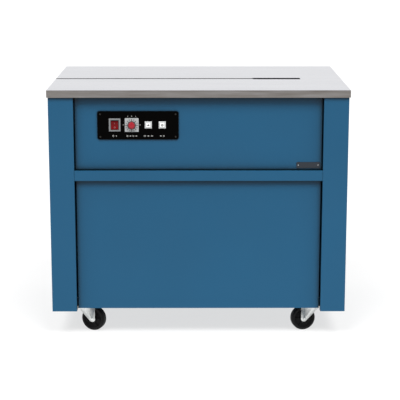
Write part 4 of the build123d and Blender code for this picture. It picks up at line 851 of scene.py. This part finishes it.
class PrintKeys(MachineOperator, bpy.types.Operator):
    """Print the dark symbols on the two buttons and the pale ones on the rocker"""

    bl_idname = "strapping.print_keys"
    bl_label = "Print key symbols"

    # The rocker's hollow face: an arc about a line in front of its pivot.
    hollow = 0.0338
    sink = 0.0054
    rise = 0.0062

    def execute(self, context):
        depth = settings("machine_dial").print_height
        feed, reverse = node_middle("feed_button"), node_middle("reverse_button")
        shape = bmesh.new()
        add_arrow(shape, 0.0085, depth, (feed.x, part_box("feed_button")[0].y, feed.z))
        piece("feed_button_symbol", shape, "print_black", "feed_key")
        shape = bmesh.new()
        place = (reverse.x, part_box("reverse_button")[0].y - depth / 2, reverse.z)
        add_ring(shape, 0.0030, 0.0016, depth, place, sides=24)
        add_disc(shape, 0.0013, depth, place, sides=16)
        piece("reverse_button_symbol", shape, "print_black", "reverse_key")
        shape = bmesh.new()
        bar = add_block(shape, (0.0011, depth * 2, 0.0050), (0, 0, 0))
        self.lay_on_rocker(shape, bar, depth, self.rise)
        add_ring(shape, 0.0021, 0.0010, depth * 2, (0, 0, 0), sides=20)
        ring = [vert for vert in shape.verts if vert not in bar]
        self.lay_on_rocker(shape, ring, depth, -self.rise)
        piece("rocker_symbols", shape, "print_faded", "rocker")
        return {"FINISHED"}

    def lay_on_rocker(self, shape, verts, depth, rise):
        """Moves a mark onto the rocker's hollow face, above or below its middle."""
        pivot = named_joint("rocker_tilt")
        tilt = Matrix.Rotation(math.radians(pivot["range_deg"][1] / 2), 4, "X")
        lean = (Matrix.Translation((0, -self.sink - self.hollow, 0))
                @ Matrix.Rotation(rise / self.hollow, 4, "X")
                @ Matrix.Translation((0, self.hollow - depth, 0)))
        bmesh.ops.transform(shape, matrix=Matrix.Translation(pivot["pos_m"]) @ tilt @ lean,
                            verts=verts)


class FitBadge(MachineOperator, bpy.types.Operator):
    """Rivet a blank dark badge to the upper front panel and a blank data plate behind"""

    bl_idname = "strapping.fit_badge"
    bl_label = "Fit blank plates"

    def execute(self, context):
        low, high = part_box("upper_front_panel")
        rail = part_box("cross_rails")[1].z
        self.plate("front_badge", (high.x - 0.041, low.y, rail + 0.0145), (0.070, 0.018), -1,
                   "badge_black", "black_plastic", 0.0295)
        low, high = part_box("rear_lower_panel")
        self.plate("rear_data_plate", (low.x + 0.12, high.y, high.z - 0.08), (0.110, 0.062), 1,
                   "plate_steel", "stainless", 0.049)
        return {"FINISHED"}

    def plate(self, name, place, size, side, material, slot, rivet_dx):
        """A thin plate with rounded corners and a rivet at each end."""
        x, y, z = place
        thick = 0.0008
        shape = bmesh.new()
        add_block(shape, (size[0], thick, size[1]), (x, y + side * thick / 2, z))
        upright = [edge for edge in shape.edges
                   if abs(edge.verts[0].co.y - edge.verts[1].co.y) > thick / 2]
        bmesh.ops.bevel(shape, geom=upright, offset=size[1] * 0.16, segments=6,
                        affect="EDGES", profile=0.5, material=-1)
        rim = [edge for edge in shape.edges
               if all(side * (vert.co.y - y) > thick * 0.9 for vert in edge.verts)]
        bmesh.ops.bevel(shape, geom=rim, offset=thick * 0.4, segments=2, affect="EDGES",
                        profile=0.5, material=-1)
        piece(name, shape, material, "cabinet")
        shape = bmesh.new()
        for way in (-1, 1):
            dome = bmesh.ops.create_uvsphere(shape, u_segments=16, v_segments=8,
                                             radius=size[1] * 0.075)["verts"]
            bmesh.ops.scale(shape, vec=(1, 0.45, 1), verts=dome)
            bmesh.ops.translate(shape, vec=(x + way * rivet_dx, y + side * thick, z),
                                verts=dome)
        piece(f"{name}_rivets", shape, "bright_zinc", "cabinet", smooth=40)


class PressLouvres(MachineOperator, bpy.types.Operator):
    """Raise a pressed hood over each slot of the rear upper panel"""

    bl_idname = "strapping.press_louvres"
    bl_label = "Press louvres"

    def execute(self, context):
        vents = settings("machine_louvres")
        middle = node_middle("rear_upper_panel")
        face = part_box("rear_upper_panel")[1].y
        shape = bmesh.new()
        for column in range(vents.columns):
            for row in range(vents.rows):
                x = middle.x + (column - (vents.columns - 1) / 2) * vents.pitch_x
                z = middle.z + (row - (vents.rows - 1) / 2) * vents.pitch_z
                self.hood(shape, (x, face, z - vents.drop), vents.width, vents.reach,
                          vents.sheet)
        piece("rear_louvre_hoods", shape, "cabinet_blue_coat", "cabinet",
              smooth=35)
        return {"FINISHED"}

    def hood(self, shape, place, width, reach, sheet):
        """A quarter-round hood, open below, with a closed end each side."""
        x, face, z = place
        left, right = x - width / 2, x + width / 2
        lip, skin = Vector((left, face + reach, z)), Vector((left, face + reach - sheet, z))
        across = Vector((width, 0, 0))
        wall = shape.faces.new([shape.verts.new(corner) for corner in (
            lip, skin, skin + across, lip + across)])
        bmesh.ops.spin(shape, geom=[wall, *wall.edges, *wall.verts], cent=place,
                       axis=(1, 0, 0), angle=math.radians(90), steps=6, use_duplicate=False)
        for end in (left + sheet / 2, right - sheet / 2):
            spoke = [shape.verts.new((end, face + reach * 0.9 * math.cos(angle),
                                      z + reach * 0.9 * math.sin(angle)))
                     for angle in [math.radians(15 * step) for step in range(7)]]
            hub = shape.verts.new((end, face - sheet / 4, z))
            cap = shape.faces.new([hub, *spoke])
            thicken(shape, cap, (math.copysign(sheet / 2, x - end), 0, 0))


class FitScrews(MachineOperator, bpy.types.Operator):
    """Fit pan-head screws with washers round the rear panels"""

    bl_idname = "strapping.fit_screws"
    bl_label = "Fit panel screws"

    # From the panel's edge to a screw's middle.
    inset = 0.013

    def execute(self, context):
        shape = bmesh.new()
        for node in ("rear_upper_panel", "rear_lower_panel"):
            low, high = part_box(node)
            for x in (low.x + self.inset, node_middle(node).x, high.x - self.inset):
                for z in (low.z + self.inset, high.z - self.inset):
                    self.screw(shape, (x, high.y, z))
        piece("rear_panel_screws", shape, "bright_zinc", "cabinet", smooth=30)
        return {"FINISHED"}

    def screw(self, shape, place):
        """A washer and a rounded pan head with a round recess."""
        x, y, z = place
        top = y + 0.0030
        add_disc(shape, 0.0062, 0.0008, (x, y + 0.0004, z), sides=24)
        head = add_disc(shape, 0.0044, 0.0022, (x, y + 0.0019, z), sides=24)
        rim = [edge for edge in shape.edges
               if all(vert in head and vert.co.y > top - 0.0001 for vert in edge.verts)]
        bmesh.ops.bevel(shape, geom=rim, offset=0.0010, segments=4, affect="EDGES",
                        profile=0.5, material=-1)
        middle = Vector((x, top, z))
        cap = min(shape.faces, key=lambda face: (face.calc_center_median() - middle).length)
        bmesh.ops.inset_region(shape, faces=[cap], thickness=0.0014)
        bmesh.ops.translate(shape, vec=(0, -0.0009, 0), verts=list(cap.verts))


class RibWheels(MachineOperator, bpy.types.Operator):
    """Add moulded ribs and a bright bearing ring to both sides of each caster wheel"""

    bl_idname = "strapping.rib_wheels"
    bl_label = "Rib caster wheels"

    def execute(self, context):
        for corner in CORNERS:
            roll = named_joint(f"{corner}_roll")
            lean = Vector((0, 1, 0)).rotation_difference(Vector(roll["axis"]).normalized())
            upright = Matrix.Translation(roll["pos_m"]) @ lean.to_matrix().to_4x4()
            ribs, rings = bmesh.new(), bmesh.new()
            for side in (-1, 1):
                for step in range(6):
                    turn = Matrix.Rotation(math.tau * step / 6, 4, "Y")
                    middle = turn @ Vector((0.0190, side * 0.00935, 0))
                    add_block(ribs, (0.0140, 0.0032, 0.0022), middle, turn)
                add_ring(rings, 0.0082, 0.0026, 0.0008, (0, side * 0.0137, 0), sides=28)
            for name, shape, material, slot in (
                    (f"{corner}_wheel_ribs", ribs, "caster_rubber", "tread"),
                    (f"{corner}_wheel_rings", rings, "bright_zinc", "zinc")):
                bmesh.ops.transform(shape, matrix=upright, verts=shape.verts)
                piece(name, shape, material, f"{corner}_wheel", smooth=30)
        return {"FINISHED"}


class SetStage(MachineOperator, bpy.types.Operator):
    """Lay the pale floor and set the lights and the camera"""

    bl_idname = "strapping.set_stage"
    bl_label = "Set stage"

    def execute(self, context):
        stage = settings("machine_stage")
        self.floor(stage)
        self.room(stage)
        self.key_light("key_light_left", stage, -stage.key_side)
        self.key_light("key_light_right", stage, stage.key_side)
        lens = bpy.data.cameras.new("camera")
        lens.lens = stage.focal
        lens.sensor_width = 36.0
        lens.shift_y = stage.shift
        camera = stand("camera", lens)
        camera.location = stage.place
        camera.rotation_euler = (math.radians(90) - stage.pitch, 0.0, -stage.yaw)
        context.scene.camera = camera
        context.scene.view_settings.view_transform = "Standard"
        return {"FINISHED"}

    def floor(self, stage):
        """A wide pale floor."""
        pale = Finish("pale_floor", stage.floor, roughness=0.85, Specular_IOR_Level=0.1,
                      Emission_Color=(1.0, 1.0, 1.0, 1.0), Emission_Strength=stage.floor_glow)
        pale.tint(pale.grain(1.3), 0.995, 1.005)
        shape = bmesh.new()
        bmesh.ops.create_grid(shape, x_segments=8, y_segments=8, size=30.0)
        built("floor", shape, pale.material)

    def room(self, stage):
        """A pale room: a bright backdrop behind the machine, dimmer walls in front."""
        world = bpy.data.worlds.new("studio")
        world.use_nodes = True
        tree = world.node_tree
        background = tree.nodes["Background"]
        background.inputs["Color"].default_value = (1.0, 1.0, 1.0, 1.0)
        heading = tree.nodes.new("ShaderNodeTexCoord").outputs["Generated"]
        split = tree.nodes.new("ShaderNodeSeparateXYZ")
        fade = tree.nodes.new("ShaderNodeMapRange")
        for socket, number in (("From Min", -0.75), ("From Max", 0.25),
                               ("To Min", stage.front), ("To Max", stage.horizon)):
            fade.inputs[socket].default_value = number
        tree.links.new(heading, split.inputs["Vector"])
        tree.links.new(split.outputs["Y"], fade.inputs["Value"])
        tree.links.new(fade.outputs["Result"], background.inputs["Strength"])
        bpy.context.scene.world = world

    def key_light(self, name, stage, azimuth):
        """A soft parallel light from an azimuth round the front."""
        lamp = bpy.data.lights.new(name, "SUN")
        lamp.energy = stage.key
        lamp.angle = stage.key_spread
        light = stand(name, lamp)
        light.rotation_euler = (math.radians(90) - stage.key_height, 0.0, azimuth)
        light.visible_glossy = False


CORNERS = ("front_left", "front_right", "rear_left", "rear_right")
STEPS = (FinishCabinet, FinishTable, FinishControls, FinishCasters, FinishReel, FinishDrive,
         FinishHead, PrintDial, PrintPictograms, PrintKeys, FitBadge, PressLouvres, FitScrews,
         RibWheels, SetStage)


class MachinePanel(bpy.types.Panel):
    """Sidebar panel with the machine's settings and operators"""

    bl_idname = "VIEW3D_PT_strapping_machine"
    bl_label = "Strapping machine"
    bl_space_type = "VIEW_3D"
    bl_region_type = "UI"
    bl_category = "Strapping machine"

    def draw(self, context):
        layout = self.layout
        for group in GROUPS:
            box = layout.box()
            values = getattr(context.scene, group)
            for name in values.bl_rna.properties.keys():
                if name not in {"rna_type", "name"}:
                    box.prop(values, name)
        for step in STEPS:
            layout.operator(step.bl_idname)


GROUPS = {"machine_finishes": FinishSettings, "machine_dial": DialSettings,
          "machine_prints": PrintSettings, "machine_louvres": LouvreSettings,
          "machine_stage": StageSettings}


def register():
    """Registers the settings, the operators and the panel."""
    for group in GROUPS.values():
        bpy.utils.register_class(group)
    for step in STEPS:
        bpy.utils.register_class(step)
    bpy.utils.register_class(MachinePanel)
    for name, group in GROUPS.items():
        setattr(bpy.types.Scene, name, PointerProperty(type=group))


def unregister():
    """Takes back what register added, in the other order."""
    for name in GROUPS:
        delattr(bpy.types.Scene, name)
    bpy.utils.unregister_class(MachinePanel)
    for step in reversed(STEPS):
        bpy.utils.unregister_class(step)
    for group in reversed(GROUPS.values()):
        bpy.utils.unregister_class(group)


def main():
    """Builds everything."""
    register()
    for step in STEPS:
        family, action = step.bl_idname.split(".")
        getattr(getattr(bpy.ops, family), action)()


if __name__ == "__main__":
    main()
